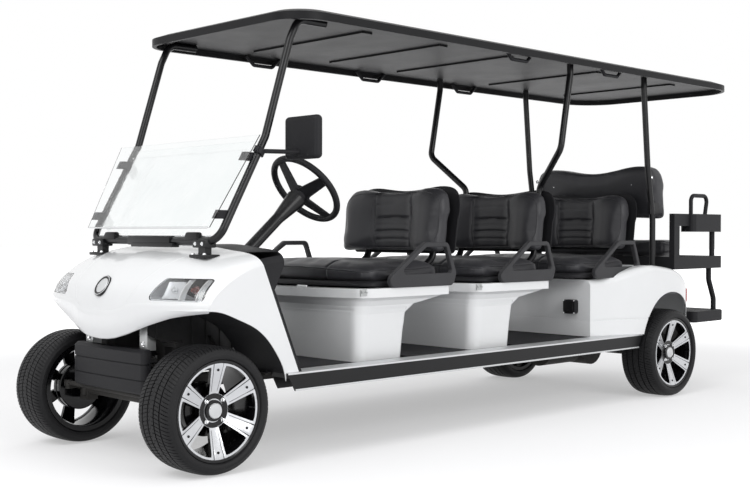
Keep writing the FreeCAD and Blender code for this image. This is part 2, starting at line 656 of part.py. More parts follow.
# Floor, mats and sills
def floor():
    inner = s.sill_x - s.sill_width
    pan = box("pan", (-inner, floor_front, floor_low), (inner, body_front, s.floor_top))
    f, z, half = floor_front, s.floor_top, s.toe_half
    toe = extrude([(-half, f, floor_low), (-half, f - s.toe_run, floor_low + s.toe_rise),
                   (-half, f - s.toe_run, z + s.toe_rise), (-half, f, z)], (half * 2, zero, zero))
    keep(fuse("floor_pan", [pan, feature("toe_board", toe)]), "floor_pan")
    mats, foot = [], s.base_front_in + s.base_depth
    spans = [(floor_front, row_y[0] + s.base_front_in),
             (row_y[0] + foot, row_y[1] + s.base_front_in), (row_y[1] + foot, body_front)]
    for start, end in spans:
        mats.append(box("mat", (-inner + s.mat_margin, start + s.mat_margin, s.floor_top),
                        (inner - s.mat_margin, end - s.mat_margin, s.floor_top + s.mat_thick)))
    keep(group("floor_mats", mats), "floor_mats")


def sills():
    """Hollow ribbed steps between the cowl and the rear body, their ends cut back below."""
    outer, inner = s.sill_x, s.sill_x - s.sill_width
    top, low, wall = s.sill_top, s.sill_bottom, s.sill_wall
    front, rear = sill_front, rear_axle_y - s.sill_short
    ends = [(front, top), (front + s.sill_cut, low), (rear - s.sill_cut, low), (rear, top)]
    skin = extrude([(inner, y, z) for y, z in ends], (outer - inner, zero, zero))
    hollow_ends = [(front + wall, top - wall), (front + s.sill_cut, low - s.overrun),
                   (rear - s.sill_cut, low - s.overrun), (rear - wall, top - wall)]
    start = inner + wall
    hollow = extrude([(start, y, z) for y, z in hollow_ends], (outer - inner - wall * 2, zero, zero))
    grooves = []
    for index in range(1, 5):
        x = outer - s.sill_groove * (2 * index)
        deep = top - s.sill_groove_depth
        grooves.append(extrude([(x, front - s.overrun, deep), (x, rear + s.overrun, deep),
                                (x, rear + s.overrun, top + s.overrun),
                                (x, front - s.overrun, top + s.overrun)],
                               (s.sill_groove, zero, zero)))
    keep(feature("sills", both(skin.cut(hollow).cut(grooves))), "sills")


floor()
sills()


# Seat bases: a moulded tub that flares into a wide bowed lip, undercut for the row behind
TUB_SHARES = ((0.0, 0.0, 0.0, 0.0), (0.41, 0.07, 0.03, 0.04), (0.73, 0.15, 0.09, 0.09),
              (0.86, 0.27, 0.18, 0.28), (0.94, 0.5, 0.46, 0.72), (1.0, 0.78, 0.77, 0.955))


def tub_solid(y0, inset):
    """The tub as one block from the floor to under the lip, moved in by a wall."""
    sections = []
    lip_low = s.base_top - s.base_lip
    front, rear = y0 + s.base_front_in, y0 + s.base_front_in + s.base_depth
    lip_front, lip_rear = y0 - s.lip_front_out, y0 - s.lip_front_out + s.lip_length
    for height_share, flare, ahead, behind in TUB_SHARES:
        corner = s.base_corner + (s.lip_corner - s.base_corner) * flare - inset
        sections.append(rounded_plan(
            s.base_half + (s.lip_half - s.base_half) * flare - inset,
            front + (lip_front - front) * ahead + inset, rear + (lip_rear - rear) * behind - inset,
            corner, corner / 2, s.floor_top + inset + (lip_low - s.floor_top - inset) * height_share,
            s.base_bow + (s.lip_bow - s.base_bow) * ahead))
    return Part.makeLoft(sections, True, True)


def lip_plan(y0, inset, z):
    front = y0 - s.lip_front_out
    return rounded_plan(s.lip_half - inset, front + inset, front + s.lip_length - inset,
                        s.lip_corner - inset, (s.lip_corner - inset) / 2, z, s.lip_bow)


def hinge_pair(y, z):
    """Barrels that a cushion turns on, either side of the middle."""
    barrel = Part.makeCylinder(float(s.hinge_radius), float(s.hinge_length),
                               vec(s.hinge_x - s.hinge_length / 2, y, z), V(1, 0, 0))
    return [barrel, mirrored(barrel)]


def hinge_z(seat_z):
    return seat_z + s.hinge_radius * 0.8


def seat_base(name, y0):
    wall, lip_low = s.base_wall, s.base_top - s.base_lip
    block = Part.Face(lip_plan(y0, zero, lip_low - wall / 2))
    block = block.extrude(vec(zero, zero, s.base_lip + wall / 2))
    room = Part.Face(lip_plan(y0, wall, lip_low + wall / 2))
    room = room.extrude(vec(zero, zero, s.base_lip - wall * 1.5))
    mouth = Part.Face(lip_plan(y0, s.lip_ledge, lip_low))
    mouth = mouth.extrude(vec(zero, zero, s.base_lip + s.overrun))
    tub = tub_solid(y0, zero)
    skin = tub.cut(tub_solid(y0, s.slot_depth))
    low, high = s.slot_z - s.slot_height / 2, s.slot_z + s.slot_height / 2
    side_start = y0 + s.side_slot_in
    bands = [slab(s.slot_half, (y0 - s.lip_front_out, low), (y0 + s.side_slot_in / 2, high)),
             slab(s.lip_half, (side_start, low), (side_start + s.side_slot_length, high))]
    slots = [skin.common(band) for band in bands]
    body = tub.fuse(block).cut(tub_solid(y0, wall)).cut(room).cut(mouth).cut(slots)
    hinges = hinge_pair(y0 + s.hinge_in, hinge_z(s.base_top))
    keep(feature(name, largest(body).fuse(hinges)), name)


seat_base("seat_base_front", row_y[0])
seat_base("seat_base_middle", row_y[1])


# Cushions hinged at their front lower edge, and backrests
CUSHION_SHARES = ((0.0, 0.86), (0.25, 1.0), (0.72, 1.0), (1.0, 0.88))


def cushion(name, y0, z0):
    low = z0 + s.seat_gap
    wires = []
    for height_share, plan_share in CUSHION_SHARES:
        shrink = s.cushion_thick * (1 - plan_share)
        wires.append(rounded_plan(s.cushion_half - shrink, y0 + s.cushion_front_in + shrink,
                                  y0 + s.cushion_rear_in - shrink, s.cushion_corner,
                                  s.cushion_corner / 2, low + s.cushion_thick * height_share,
                                  s.cushion_bow))
    keep(feature(name, Part.makeLoft(wires, True, True)), name)


def back_outline(half, low, high, dip, corner, depth):
    """Front view of a backrest with two humps, each point set back by a function of its height."""
    def at(x, z):
        return vec(x, depth(z), z)

    mid, knee = low + (high - low) * 0.5, corner * 0.4
    top = [(half, mid), (half - knee * 0.1, high - corner), (half - knee, high - knee),
           (half - corner * 1.4, high), (half * 0.4, high - dip * 0.3), (zero, high - dip)]
    crest = [at(x, z) for x, z in top] + [at(-x, z) for x, z in reversed(top[:-1])]
    curve = Part.BSplineCurve()
    curve.interpolate(crest)
    turn = (1 - math.sqrt(0.5)) * knee
    edges = [
        curve, Part.LineSegment(at(-half, mid), at(-half, low + knee)),
        Part.Arc(at(-half, low + knee), at(-half + turn, low + turn), at(-half + knee, low)),
        Part.LineSegment(at(-half + knee, low), at(half - knee, low)),
        Part.Arc(at(half - knee, low), at(half - turn, low + turn), at(half, low + knee)),
        Part.LineSegment(at(half, low + knee), at(half, mid)),
    ]
    return Part.Wire([edge.toShape() for edge in edges])


PAD_SHARES = ((0.0, 1.0), (0.18, 0.0), (0.8, 0.0), (1.0, 0.8))


def padded_back(half, low, high, dip, corner, front, rear, edge):
    """A backrest between two leaning faces, its rims rounded over."""
    wires = []
    for depth_share, edge_share in PAD_SHARES:
        inset = edge * edge_share
        wires.append(back_outline(
            half - inset, low + inset, high - inset, dip, corner,
            lambda z, share=depth_share: front(z) + (rear(z) - front(z)) * share))
    return Part.makeLoft(wires, True, True)


def leaning(foot, lean, low, high):
    """Where a leaning face is at a height."""
    return lambda z: foot + lean * float((z - low) / (high - low))


def back_face(y0, set_back):
    return leaning(y0 + s.back_front_in + set_back, s.back_lean, s.back_bottom, s.back_top)


def back_rear(y0, z):
    return back_face(y0, s.back_thick)(z)


def backrest(name, y0):
    solid = padded_back(s.back_half, s.back_bottom, s.back_top, s.back_dip, s.back_corner,
                        back_face(y0, zero), back_face(y0, s.back_thick), s.back_edge)
    keep(feature(name, solid), name)


rows = ("front", "middle", "third")
for tag, y0 in zip(rows, row_y):
    cushion(f"cushion_{tag}", y0, s.base_top)
    backrest(f"backrest_{tag}", y0)


tube_offset = s.post_radius + s.seat_gap


def shells():
    """A thin leaning shell closes the back of each backrest."""
    parts = []
    start = s.back_thick + tube_offset * 2
    for y0 in row_y:
        parts.append(padded_back(s.back_half, s.back_bottom, s.back_top, s.back_dip, s.back_corner,
                                 back_face(y0, start), back_face(y0, start + s.shell_thick),
                                 s.shell_thick / 2))
    keep(feature("backrest_shells", Part.makeCompound(parts)), "backrest_shells")


def back_bar(x, y0):
    """A bar from behind a bench's lip up the rear of its backrest."""
    low_y, knee_z = y0 - s.lip_front_out + s.lip_length + tube_offset, s.back_bottom - s.overrun
    return [(x, low_y, s.base_top - s.base_lip), (x, low_y, s.base_top + s.bend_radius / 2),
            (x, back_rear(y0, knee_z) + tube_offset, knee_z)]


def back_frames():
    """Two bars behind the front and third backrests, standing on the bases."""
    bars = []
    for y0 in (row_y[0], row_y[2]):
        top_z = s.back_top - s.back_corner
        route = back_bar(s.back_tube_x, y0)
        route.append((s.back_tube_x, back_rear(y0, top_z) + tube_offset, top_z))
        bar = tube(route, s.post_radius, s.bend_radius)
        if y0 is row_y[2]:
            bar = bar.cut(body_solid(-s.seat_gap))
        bars += [largest(bar), mirrored(largest(bar))]
    keep(feature("backrest_frames", Part.makeCompound(bars)), "backrest_frames")


shells()


def hip_rest(y0):
    """Moulded side rest: a low panel with an open triangular loop over it."""
    low = s.base_top + s.seat_gap
    outline = [(y0 + s.hip_front_in, low), (y0 + s.hip_top_front_in, s.hip_top),
               (y0 + s.hip_top_rear_in, s.hip_top), (y0 + s.hip_max_in, s.hip_max_z),
               (y0 + s.hip_rear_in, low)]
    bar = s.hip_bar
    hole = [(y0 + s.hip_front_in + bar * 5.4, s.hip_panel_top),
            (y0 + s.hip_top_front_in + bar * 0.5, s.hip_top - bar),
            (y0 + s.hip_top_rear_in - bar * 0.6, s.hip_top - bar),
            (y0 + s.hip_max_in - bar * 1.2, s.hip_panel_top)]
    start = s.hip_x
    plate = Part.Face(rounded_loop([(start, y, z) for y, z in outline], s.hip_corner))
    plate = plate.extrude(vec(s.hip_width, zero, zero))
    inner = Part.Face(rounded_loop([(start - s.overrun, y, z) for y, z in hole], s.hip_corner / 2))
    inner = inner.extrude(vec(s.hip_width + s.overrun * 2, zero, zero))
    return eased(plate.cut(inner), s.hip_edge, s.hip_x, s.hip_x + s.hip_width)


def eased(shape, radius, start, end):
    """Round the rims that lie in the two side faces."""
    rims = [edge for edge in shape.Edges
            if all(min(abs(v.X - float(start)), abs(v.X - float(end))) < float(s.seat_gap)
                   for v in edge.Vertexes) and edge.BoundBox.XLength < float(s.seat_gap)]
    return shape.makeFillet(float(radius), rims)


for tag, y0 in zip(rows, row_y):
    keep(feature(f"hip_rests_{tag}", both(hip_rest(y0))), f"hip_rests_{tag}")


# Nose: side profiles lofted from flank to flank, hollowed, arches and lamp windows cut
NOSE_SHARES = ((0.09, 0.0), (0.055, 0.336), (0.0, 0.524), (0.007, 0.612), (0.036, 0.711),
               (0.1, 0.79), (0.216, 0.883), (0.386, 0.958), (0.58, 0.995), (1.0, 1.0))
STATION_SHARES = ((0.0, 0.0, 0.0), (0.3, 0.07, 0.02), (0.54, 0.24, 0.06), (0.64, 0.32, 0.16),
                  (0.78, 0.48, 0.26), (0.9, 0.69, 0.38), (0.97, 0.88, 0.62), (1.0, 1.05, 1.05))
LIP_SHARES = ((0.0, 0.0), (0.18, 0.08), (0.367, 0.336), (0.513, 0.604), (0.648, 0.8), (0.76, 0.92),
              (0.88, 0.985), (1.04, 1.0))
ARCH_SHARES = ((-0.287, 0.003), (-0.193, 0.003), (-0.058, 0.009), (0.076, 0.038), (0.269, 0.113),
               (0.497, 0.214), (0.67, 0.344), (0.819, 0.529), (0.924, 0.723), (0.977, 0.942),
               (1.0, 1.0))
side_lip_z = s.lip_z + s.lip_rise
arch_low = s.cowl_low - s.overrun


def nose_wire(side, station, inset):
    """Side outline of the nose at a station across it, moved in by a wall."""
    width_share, sweep_share, fall_share = station
    x = (s.cowl_half - inset) * (width_share * side)
    front = nose_y + s.nose_sweep * sweep_share + inset
    top = s.hood_top - s.hood_fall * fall_share - inset
    low = s.cowl_low - inset * 4
    run = s.front_axle_y + s.cowl_low_end + s.overrun * 2 + inset * 4 - nose_y
    curve = spline([(x, front + run * a, low + (top - low) * b) for a, b in NOSE_SHARES])
    start, end = curve.Vertexes[0].Point, curve.Vertexes[-1].Point
    corner = V(end.x, end.y, start.z)
    return Part.Wire([curve, Part.makeLine(end, corner), Part.makeLine(corner, start)])


def nose_solid(inset):
    near = [(1, station) for station in STATION_SHARES]
    far = [(-1, station) for station in STATION_SHARES[:0:-1]]
    return Part.makeLoft([nose_wire(side, station, inset) for side, station in far + near],
                         True, False)


def arch_line(x):
    """The cut edge over a front wheel, from its front to the sill."""
    return [(x, s.front_axle_y + s.arch_reach * a, side_lip_z - (side_lip_z - arch_low) * b)
            for a, b in ARCH_SHARES]


def front_arch():
    """Everything cleared by a steered front wheel, driver's side."""
    x, front = s.arch_inner_x, nose_y - s.overrun
    line = arch_line(x)
    edges = [spline(line), Part.makeLine(vec(*line[-1]), vec(x, front, arch_low)),
             Part.makeLine(vec(x, front, arch_low), vec(x, front, side_lip_z)),
             Part.makeLine(vec(x, front, side_lip_z), vec(*line[0]))]
    return Part.Face(Part.Wire(edges)).extrude(vec(s.cowl_half + s.overrun - x, zero, zero))


def under_lip():
    """Everything below the nose's curved front lip."""
    wide, front = s.cowl_half * LIP_SHARES[-1][0], nose_y - s.overrun
    near = [(s.cowl_half * a, front, s.lip_z + s.lip_rise * b) for a, b in LIP_SHARES]
    far = [(-x, y, z) for x, y, z in near[:0:-1]]
    edges = [spline(far + near), Part.makeLine(vec(*near[-1]), vec(wide, front, arch_low)),
             Part.makeLine(vec(wide, front, arch_low), vec(-wide, front, arch_low)),
             Part.makeLine(vec(-wide, front, arch_low), vec(*far[0]))]
    depth = s.nose_ahead - s.arm_width
    return Part.Face(Part.Wire(edges)).extrude(vec(zero, depth, zero))


def rear_line(gap):
    """The cowl's sloping rear edge, its top and its foot, moved back by a gap."""
    return [(s.front_axle_y + s.cowl_top_end + gap, s.hood_top + s.overrun),
            (s.front_axle_y + s.cowl_low_end + gap, arch_low)]


def behind_cowl(gap):
    wide, rear = s.cowl_half + s.overrun, s.front_axle_y + s.cowl_low_end + s.overrun * 4
    outline = rear_line(gap) + [(rear, arch_low), (rear, s.hood_top + s.overrun)]
    return extrude([(-wide, y, z) for y, z in outline], (wide * 2, zero, zero))


def lamp_window(grow):
    """The lamp opening seen from the front, driver's side."""
    y, low, high = nose_y - s.overrun, s.lamp_low - grow, s.lamp_high + grow
    corner = s.lamp_rim * 1.5 + grow
    outline = [(s.lamp_in_x - grow, y, low), (s.lamp_out_x + grow, y, low),
               (s.lamp_out_x - s.lamp_rim + grow, y, high), (s.lamp_in_top_x - grow, y, high)]
    face = Part.Face(rounded_loop(outline, corner))
    return face.extrude(vec(zero, s.nose_ahead + s.overrun, zero))


def front_cowl():
    shell = nose_solid(zero).cut(nose_solid(s.cowl_wall))
    wide = s.cowl_half + s.overrun
    over_sill = slab(wide, (sill_front - s.seat_gap, arch_low),
                     (sill_front + s.sill_width, s.sill_top + s.seat_gap))
    cuts = [behind_cowl(zero), under_lip(), front_arch(), mirrored(front_arch()), over_sill,
            lamp_window(zero), mirrored(lamp_window(zero))]
    keep(feature("front_cowl", largest(shell.cut(cuts))), "front_cowl")


def headlamps():
    """Flush lenses, and the open-fronted bowls behind them."""
    skin = nose_solid(zero).cut(nose_solid(s.cowl_wall))
    lens = largest(skin.common(lamp_window(-s.seat_gap)))
    keep(feature("headlamps", both(lens)), "headlamps")
    behind = s.cowl_wall + s.seat_gap
    thick = nose_solid(behind).cut(nose_solid(s.lamp_depth)).common(lamp_window(s.lamp_rim))
    room = nose_solid(zero).cut(nose_solid(s.lamp_depth - s.cowl_wall))
    bowl = largest(thick.cut(room.common(lamp_window(-s.cowl_wall))))
    keep(feature("lamp_bowls", both(bowl)), "lamp_bowls")


front_cowl()
headlamps()


def liners():
    """Black wheel-arch liners that follow the cut edge inside the cowl."""
    x = s.liner_inner_x
    lower = arch_line(x)[2:]
    upper = [(a, y + s.liner_thick * (0.2 + 0.8 * b), z + s.liner_thick * (1 - 0.4 * b))
             for (a, y, z), (_, b) in zip(lower, ARCH_SHARES[2:])]
    edges = [spline(lower), Part.makeLine(vec(*lower[-1]), vec(*upper[-1])),
             spline(upper[::-1]), Part.makeLine(vec(*upper[0]), vec(*lower[0]))]
    sheet_solid = Part.Face(Part.Wire(edges)).extrude(
        vec(s.cowl_half - s.cowl_wall - s.seat_gap - x, zero, zero))
    below = slab(s.cowl_half, (nose_y, arch_low - s.overrun),
                 (sill_front + s.sill_width, s.sill_top + s.seat_gap))
    keep(feature("front_liners", both(largest(sheet_solid.cut(below)))), "front_liners")


liners()


def bumper():
    """Rounded block with a bevelled top and two grooves, and brackets back to the rails."""
    front = s.front_axle_y - s.bumper_ahead
    rise, edge = s.bumper_high - s.bumper_low, s.bumper_corner

    def plan(inset, z):
        return rounded_plan(s.bumper_half - inset, front + inset, front + s.bumper_depth,
                            edge - inset, edge / 3, z, edge / 4)

    levels = [(edge / 4, zero), (zero, edge / 3), (zero, rise - edge / 2), (edge / 2, rise)]
    block = Part.makeLoft([plan(inset, s.bumper_low + up) for inset, up in levels], True, True)
    back = front + s.bumper_depth
    for share in (0.3, 0.66):
        z = s.bumper_low + rise * share
        core = Part.Face(plan(s.bumper_groove, z)).extrude(vec(zero, zero, s.bumper_groove))
        band = slab(s.bumper_half + s.overrun, (front - s.overrun, z),
                    (back - edge / 2, z + s.bumper_groove))
        block = block.cut(band.cut(core))
    rail_front = s.front_axle_y - s.rail_ahead
    brackets = []
    for side in sides:
        x = float(s.rail_x) * side - float(s.rail_width) / 2
        size = (float(s.rail_width), float(rail_front - s.seat_gap - back), float(s.rail_height))
        brackets.append(Part.makeBox(*size, V(x, float(back), float(s.rail_bottom))))
    keep(feature("front_bumper", block.fuse(brackets)), "front_bumper")


bumper()


def dashboard():
    """Panel closing the rear of the nose, its end cheeks and the strips down to the sills."""
    front, rear = s.front_axle_y + s.dash_start, s.front_axle_y + s.dash_end
    top, low, wall = s.hood_top + s.overrun, s.dash_top - s.dash_depth, s.dash_wall
    bend = s.dash_depth / 3
    outer = [(front, top), (rear, top), (rear, s.dash_top - bend), (rear - bend, low)]
    inner = [(rear - bend - wall, low), (rear - wall, s.dash_top - bend),
             (rear - wall, s.dash_top - wall * 3), (front, s.dash_top - wall * 3)]
    wide = s.cowl_half + s.overrun
    panel = extrude([(-wide, y, z) for y, z in outer + inner], (wide * 2, zero, zero))
    cheek = s.cowl_half - s.trim_depth
    for side in sides:
        ends = extrude([(cheek * side, y, z) for y, z in outer], ((wide - cheek) * side, zero, zero))
        panel = panel.fuse(ends)
        strip_low = rear_line(s.seat_gap)[1]
        strip = extrude([(cheek * side, y, z) for y, z in rear_line(s.seat_gap)]
                        + [(cheek * side, strip_low[0] + s.trim_width, strip_low[1]),
                           (cheek * side, rear_line(s.trim_width)[0][0], top)],
                        ((wide - cheek) * side, zero, zero))
        panel = panel.fuse(strip)
    over_sill = slab(wide, (nose_y, arch_low - s.overrun),
                     (sill_front + s.sill_width * 2, s.sill_top + s.seat_gap))
    flush = nose_solid(zero).common(behind_cowl(s.seat_gap))
    room = nose_solid(s.cowl_wall + s.seat_gap).fuse(flush)
    bore = slanted(column_bar(s.column_radius + s.seat_gap))
    panel = panel.common(room).cut([over_sill, bore])
    keep(feature("dashboard", largest(panel)), "dashboard")


def slanted(shape):
    """Turn a shape drawn along +Z about the wheel's centre onto the column axis."""
    shape.rotate(V(0, 0, 0), V(1, 0, 0), float(s.column_angle) - 90)
    shape.translate(vec(s.wheel_x, s.front_axle_y + s.wheel_in, s.wheel_z))
    return shape


def column_bar(radius):
    length = s.column_start + s.column_length
    return Part.makeCylinder(float(radius), float(s.column_length), V(0, 0, -float(length)))


dashboard()


# Rear body: cross sections lofted from the bench front to the tail
BODY_SHARES = ((0.0, 0.0, 0.0), (0.103, 0.181, 0.06), (0.232, 0.526, 0.47), (0.373, 0.931, 0.94),
               (0.524, 1.0, 1.03), (0.686, 0.983, 0.79), (0.816, 0.914, 0.32),
               (0.903, 0.741, -0.41), (1.0, 0.224, -1.59))


def body_wire(station, inset):
    """Cross section of the rear body, its top corners rounded, moved in by a wall."""
    length_share, half_share, top_share = station
    y = body_front + (body_rear - body_front) * length_share + inset * (1 - length_share * 2)
    w = s.body_front_half + (s.fender_half - s.body_front_half) * half_share - inset
    high = s.body_front_top + (s.fender_top - s.body_front_top) * top_share - inset
    low, edge = body_low - inset * 4, s.body_edge - inset
    turn = edge * (1 - math.sqrt(0.5))
    near = [(w, y, low), (w, y, high - edge), (w - turn, y, high - turn), (w - edge, y, high)]
    far = [(-x, y, z) for x, y, z in near]
    near, far = [vec(*p) for p in near], [vec(*p) for p in far]
    edges = [Part.LineSegment(near[0], near[1]), Part.Arc(near[1], near[2], near[3]),
             Part.LineSegment(near[3], far[3]), Part.Arc(far[3], far[2], far[1]),
             Part.LineSegment(far[1], far[0]), Part.LineSegment(far[0], near[0])]
    return Part.Wire([edge.toShape() for edge in edges])


def body_solid(inset):
    """The rear body as one block, moved in by a wall."""
    return Part.makeLoft([body_wire(station, inset) for station in BODY_SHARES], True, False)


def rear_body():
    """Hollow body with a shelf for the third bench and an open wheel arch each side."""
    wide, wall = s.fender_half + s.overrun, s.body_wall

    def shelf(grow):
        return slab(s.shelf_half + grow, (body_front - s.overrun, s.base_top - grow),
                    (body_front + s.shelf_length + grow, s.base_top + s.fender_top))

    block = body_solid(zero)
    shell = block.cut(shelf(zero)).cut(body_solid(wall).cut(shelf(wall)))
    arch = Part.makeCylinder(float(s.rear_arch_radius), float(wide * 2),
                             vec(-wide, rear_axle_y + s.rear_arch_back, s.rear_arch_z), V(1, 0, 0))
    low, high = s.step_line_z - s.step_line_height / 2, s.step_line_z + s.step_line_height / 2
    band = slab(wide, (body_front, low), (body_rear, high))
    line = block.cut(body_solid(s.step_line_depth)).common(band)
    hinges = hinge_pair(body_front - s.hinge_radius * 0.8, s.body_front_top)
    keep(feature("rear_body", largest(shell.cut([arch, line])).fuse(hinges)), "rear_body")


def tail_lamps():
    """Upright lenses let into the rear corners of the body."""
    y, z = rear_axle_y + s.tail_lamp_behind, s.tail_lamp_z - s.tail_lamp_height / 2
    width, height = s.tail_lamp_width, s.tail_lamp_height
    outline = [(zero, y, z), (zero, y + width, z), (zero, y + width, z + height), (zero, y, z + height)]
    window = Part.Face(rounded_loop(outline, width / 3)).extrude(vec(s.fender_half, zero, zero))
    skin = body_solid(-s.tail_lamp_thick).cut(body_solid(-s.seat_gap))
    keep(feature("tail_lamps", both(largest(skin.common(window)))), "tail_lamps")


rear_body()
back_frames()
tail_lamps()


def rear_back_solid(grow):
    """The rear-facing backrest, leaning over its bench and thicker at its top."""
    front = rear_axle_y + s.rear_back_behind - grow
    low, high = s.rear_back_low - grow, s.rear_back_high + grow
    thin, thick = s.rear_back_foot + grow * 2, s.rear_back_thick + grow * 2
    return padded_back(s.deck_half - s.rear_back_in + grow, low, high, s.rear_back_dip,
                       s.back_corner, leaning(front + s.rear_back_lean, -s.rear_back_lean, low, high),
                       leaning(front + s.rear_back_lean + thin, thick - thin - s.rear_back_lean,
                               low, high), s.back_edge)


def rear_bench():
    """Backrest and cushion over the tail."""
    keep(feature("rear_backrest", rear_back_solid(zero)), "rear_backrest")
    wires, low = [], s.deck_top + s.seat_gap
    for height_share, plan_share in CUSHION_SHARES:
        shrink = s.rear_seat_thick * (1 - plan_share)
        wires.append(rounded_plan(s.deck_half - s.rear_seat_in - shrink,
                                  rear_axle_y + s.rear_seat_start + shrink,
                                  rear_axle_y + s.rear_seat_end - shrink, s.rear_seat_thick / 4,
                                  s.rear_seat_thick / 2, low + s.rear_seat_thick * height_share))
    keep(feature("rear_cushion", Part.makeLoft(wires, True, True)), "rear_cushion")


rear_bench()


def span(name, side, x_pair, y_pair, z_pair):
    """A box on one side of the cart, its x given from the middle outwards."""
    near, far = x_pair if side > 0 else (-x_pair[1], -x_pair[0])
    return box(name, (near, y_pair[0], z_pair[0]), (far, y_pair[1], z_pair[1]))


def arm_rest(side):
    """Padded arm with a cup bore near its end, a post ahead of it and a stay under it."""
    out = s.deck_half + s.rest_out
    start, end = rear_axle_y + s.arm_start, rear_axle_y + s.arm_end
    low, high = s.arm_top - s.arm_depth, s.arm_top
    outline = [(out - s.rest_width, start, low), (out, start, low), (out, end, low),
               (out - s.rest_width, end, low)]
    pad = Part.Face(rounded_loop([(x * side, y, z) for x, y, z in outline], s.rest_out))
    pad = pad.extrude(vec(zero, zero, high - low))
    cup = Part.makeCylinder(float(s.cup_radius), float(s.cup_depth + s.overrun),
                            vec((out - s.rest_width / 2) * side, end - s.rest_width / 2,
                                high - s.cup_depth))
    front = rear_axle_y + s.deck_start
    x_pair = (s.deck_half - s.deck_width, s.deck_half)
    return [feature("arm_pad", pad.cut(cup)),
            span("arm_post", side, x_pair, (front, front + s.arm_post), (s.deck_top, high)),
            span("arm_link", side, x_pair, (front, start + s.rest_out), (low + s.deck_width, high)),
            cylinder("arm_stay", ((s.deck_half - s.deck_width / 2) * side, end - s.rest_width / 2,
                                  s.deck_top), "z", s.step_tube_radius, low - s.deck_top)]


def rear_frame():
    """Deck of the rear bench, with the arms and grab bars that stand on it."""
    low, top, wide = s.deck_top - s.deck_rail, s.deck_top, s.deck_width
    front, rear = rear_axle_y + s.deck_start, rear_axle_y + s.deck_end
    leg_y = body_rear + s.overrun / 2
    parts, arms = [], []
    for side in sides:
        parts.append(span("deck_side", side, (s.deck_half - wide, s.deck_half), (front, rear), (low, top)))
        arms.extend(arm_rest(side))
        bearer = (s.rail_x - wide / 2, s.rail_x + wide / 2)
        parts.append(span("deck_leg", side, bearer, (leg_y, leg_y + wide), (rail_top + s.seat_gap, top)))
        parts.append(span("deck_bearer", side, bearer, (front, rear), (low, top)))
        x = (s.deck_half + s.rest_out - s.rest_width / 2) * side
        start, end = rear_axle_y + s.grab_start, rear_axle_y + s.grab_end
        bend = s.grab_radius * 3
        route = [(x, start, s.arm_top - s.deck_width), (x, start, s.grab_high), (x, end, s.grab_high),
                 (x, end - bend, s.arm_top - s.deck_width)]
        arms.append(feature("grab_bar", tube(route, s.grab_radius, bend)))
    for y in (front, rear - wide):
        parts.append(box("deck_cross", (-s.deck_half, y, low), (s.deck_half, y + wide, top)))
    hinges = hinge_pair(front + s.hinge_radius * 2, hinge_z(top))
    parts.append(feature("deck_hinges", Part.makeCompound(hinges)))
    keep(fuse("rear_seat_frame", parts), "rear_seat_frame")
    keep(fuse("rear_arms", arms), "rear_arms")


rear_frame()


def foot_rest():
    """Grooved platform on two stays from the deck and two arms from the rails."""
    start, end = rear_axle_y + s.step_start, rear_axle_y + s.step_end
    outline = [(-s.step_half, start), (s.step_half, start), (s.step_half, end), (-s.step_half, end)]
    low = s.step_top - s.step_thick
    plate = Part.Face(rounded_loop([(x, y, low) for x, y in outline], s.step_thick / 2))
    plate = plate.extrude(vec(zero, zero, s.step_thick))
    plate = plate.makeFillet(float(s.step_groove), plate.Edges)
    count = int(float(end - start) / float(s.step_groove * 3)) - 1
    lines = []
    for index in range(1, count + 1):
        y = start + s.step_groove * (3 * index)
        lines.append(slab(s.step_half - s.step_thick / 2, (y, s.step_top - s.sill_groove_depth),
                          (y + s.step_groove, s.step_top + s.overrun)))
    parts = [feature("step_plate", plate.cut(lines))]
    rail_rear = rear_axle_y + s.rail_behind
    for side in sides:
        x, y = s.stay_x * side, rear_axle_y + s.deck_end - s.deck_width / 2
        route = [(x, y, s.deck_top - s.deck_rail - s.seat_gap), (x, y, s.deck_top - s.deck_rail * 2),
                 (x, end - s.deck_width, s.step_top + s.step_thick),
                 (x, end - s.deck_width, s.step_top - s.step_thick / 2)]
        parts.append(feature("step_stay", tube(route, s.step_tube_radius, s.back_corner)))
        arm = (s.rail_x - s.rail_width / 2, s.rail_x + s.rail_width / 2)
        parts.append(span("step_arm", side, arm, (rail_rear + s.seat_gap, rail_rear + s.step_thick),
                          (s.rail_bottom, s.step_top - s.step_thick / 2)))
    keep(fuse("rear_footrest", parts), "rear_footrest")


foot_rest()


# Roof: crowned skin over a turned-down rim, open below, with cross ribs inside
RIB_SHARES = (0.15, 0.29, 0.43, 0.65, 0.86)
ceiling = s.roof_low + s.roof_rim - s.roof_skin


def roof():
    low, high = s.roof_low, s.roof_low + s.roof_rim
    front, rear = s.front_axle_y + s.roof_start, rear_axle_y + s.roof_behind

    def ring(shrink, z):
        return rounded_plan(roof_half - shrink, front + shrink, rear - shrink,
                            s.roof_front_corner - shrink * 0.5, s.roof_rear_corner - shrink * 0.5, z)

    skirt = Part.makeLoft([ring(zero, low), ring(zero, high)], True, True)
    crown = Part.makeLoft([ring(zero, high), ring(s.roof_lip * 3, high + s.roof_crown * 0.7),
                           ring(s.roof_lip * 8, high + s.roof_crown)], True, True)
    hollow = Part.makeLoft([ring(s.roof_lip, low - s.overrun), ring(s.roof_lip, ceiling)], True, True)
    shell = skirt.fuse(crown).removeSplitter().cut(hollow)
    ribs = []
    for share in RIB_SHARES:
        y = front + (rear - front) * share
        ribs.append(slab(s.rear_post_half - s.overrun * 2, (y, ceiling - s.roof_rib_depth),
                         (y + s.roof_rib, ceiling + s.roof_skin / 2)))
    keep(feature("roof", shell.fuse(ribs)), "roof")


roof()


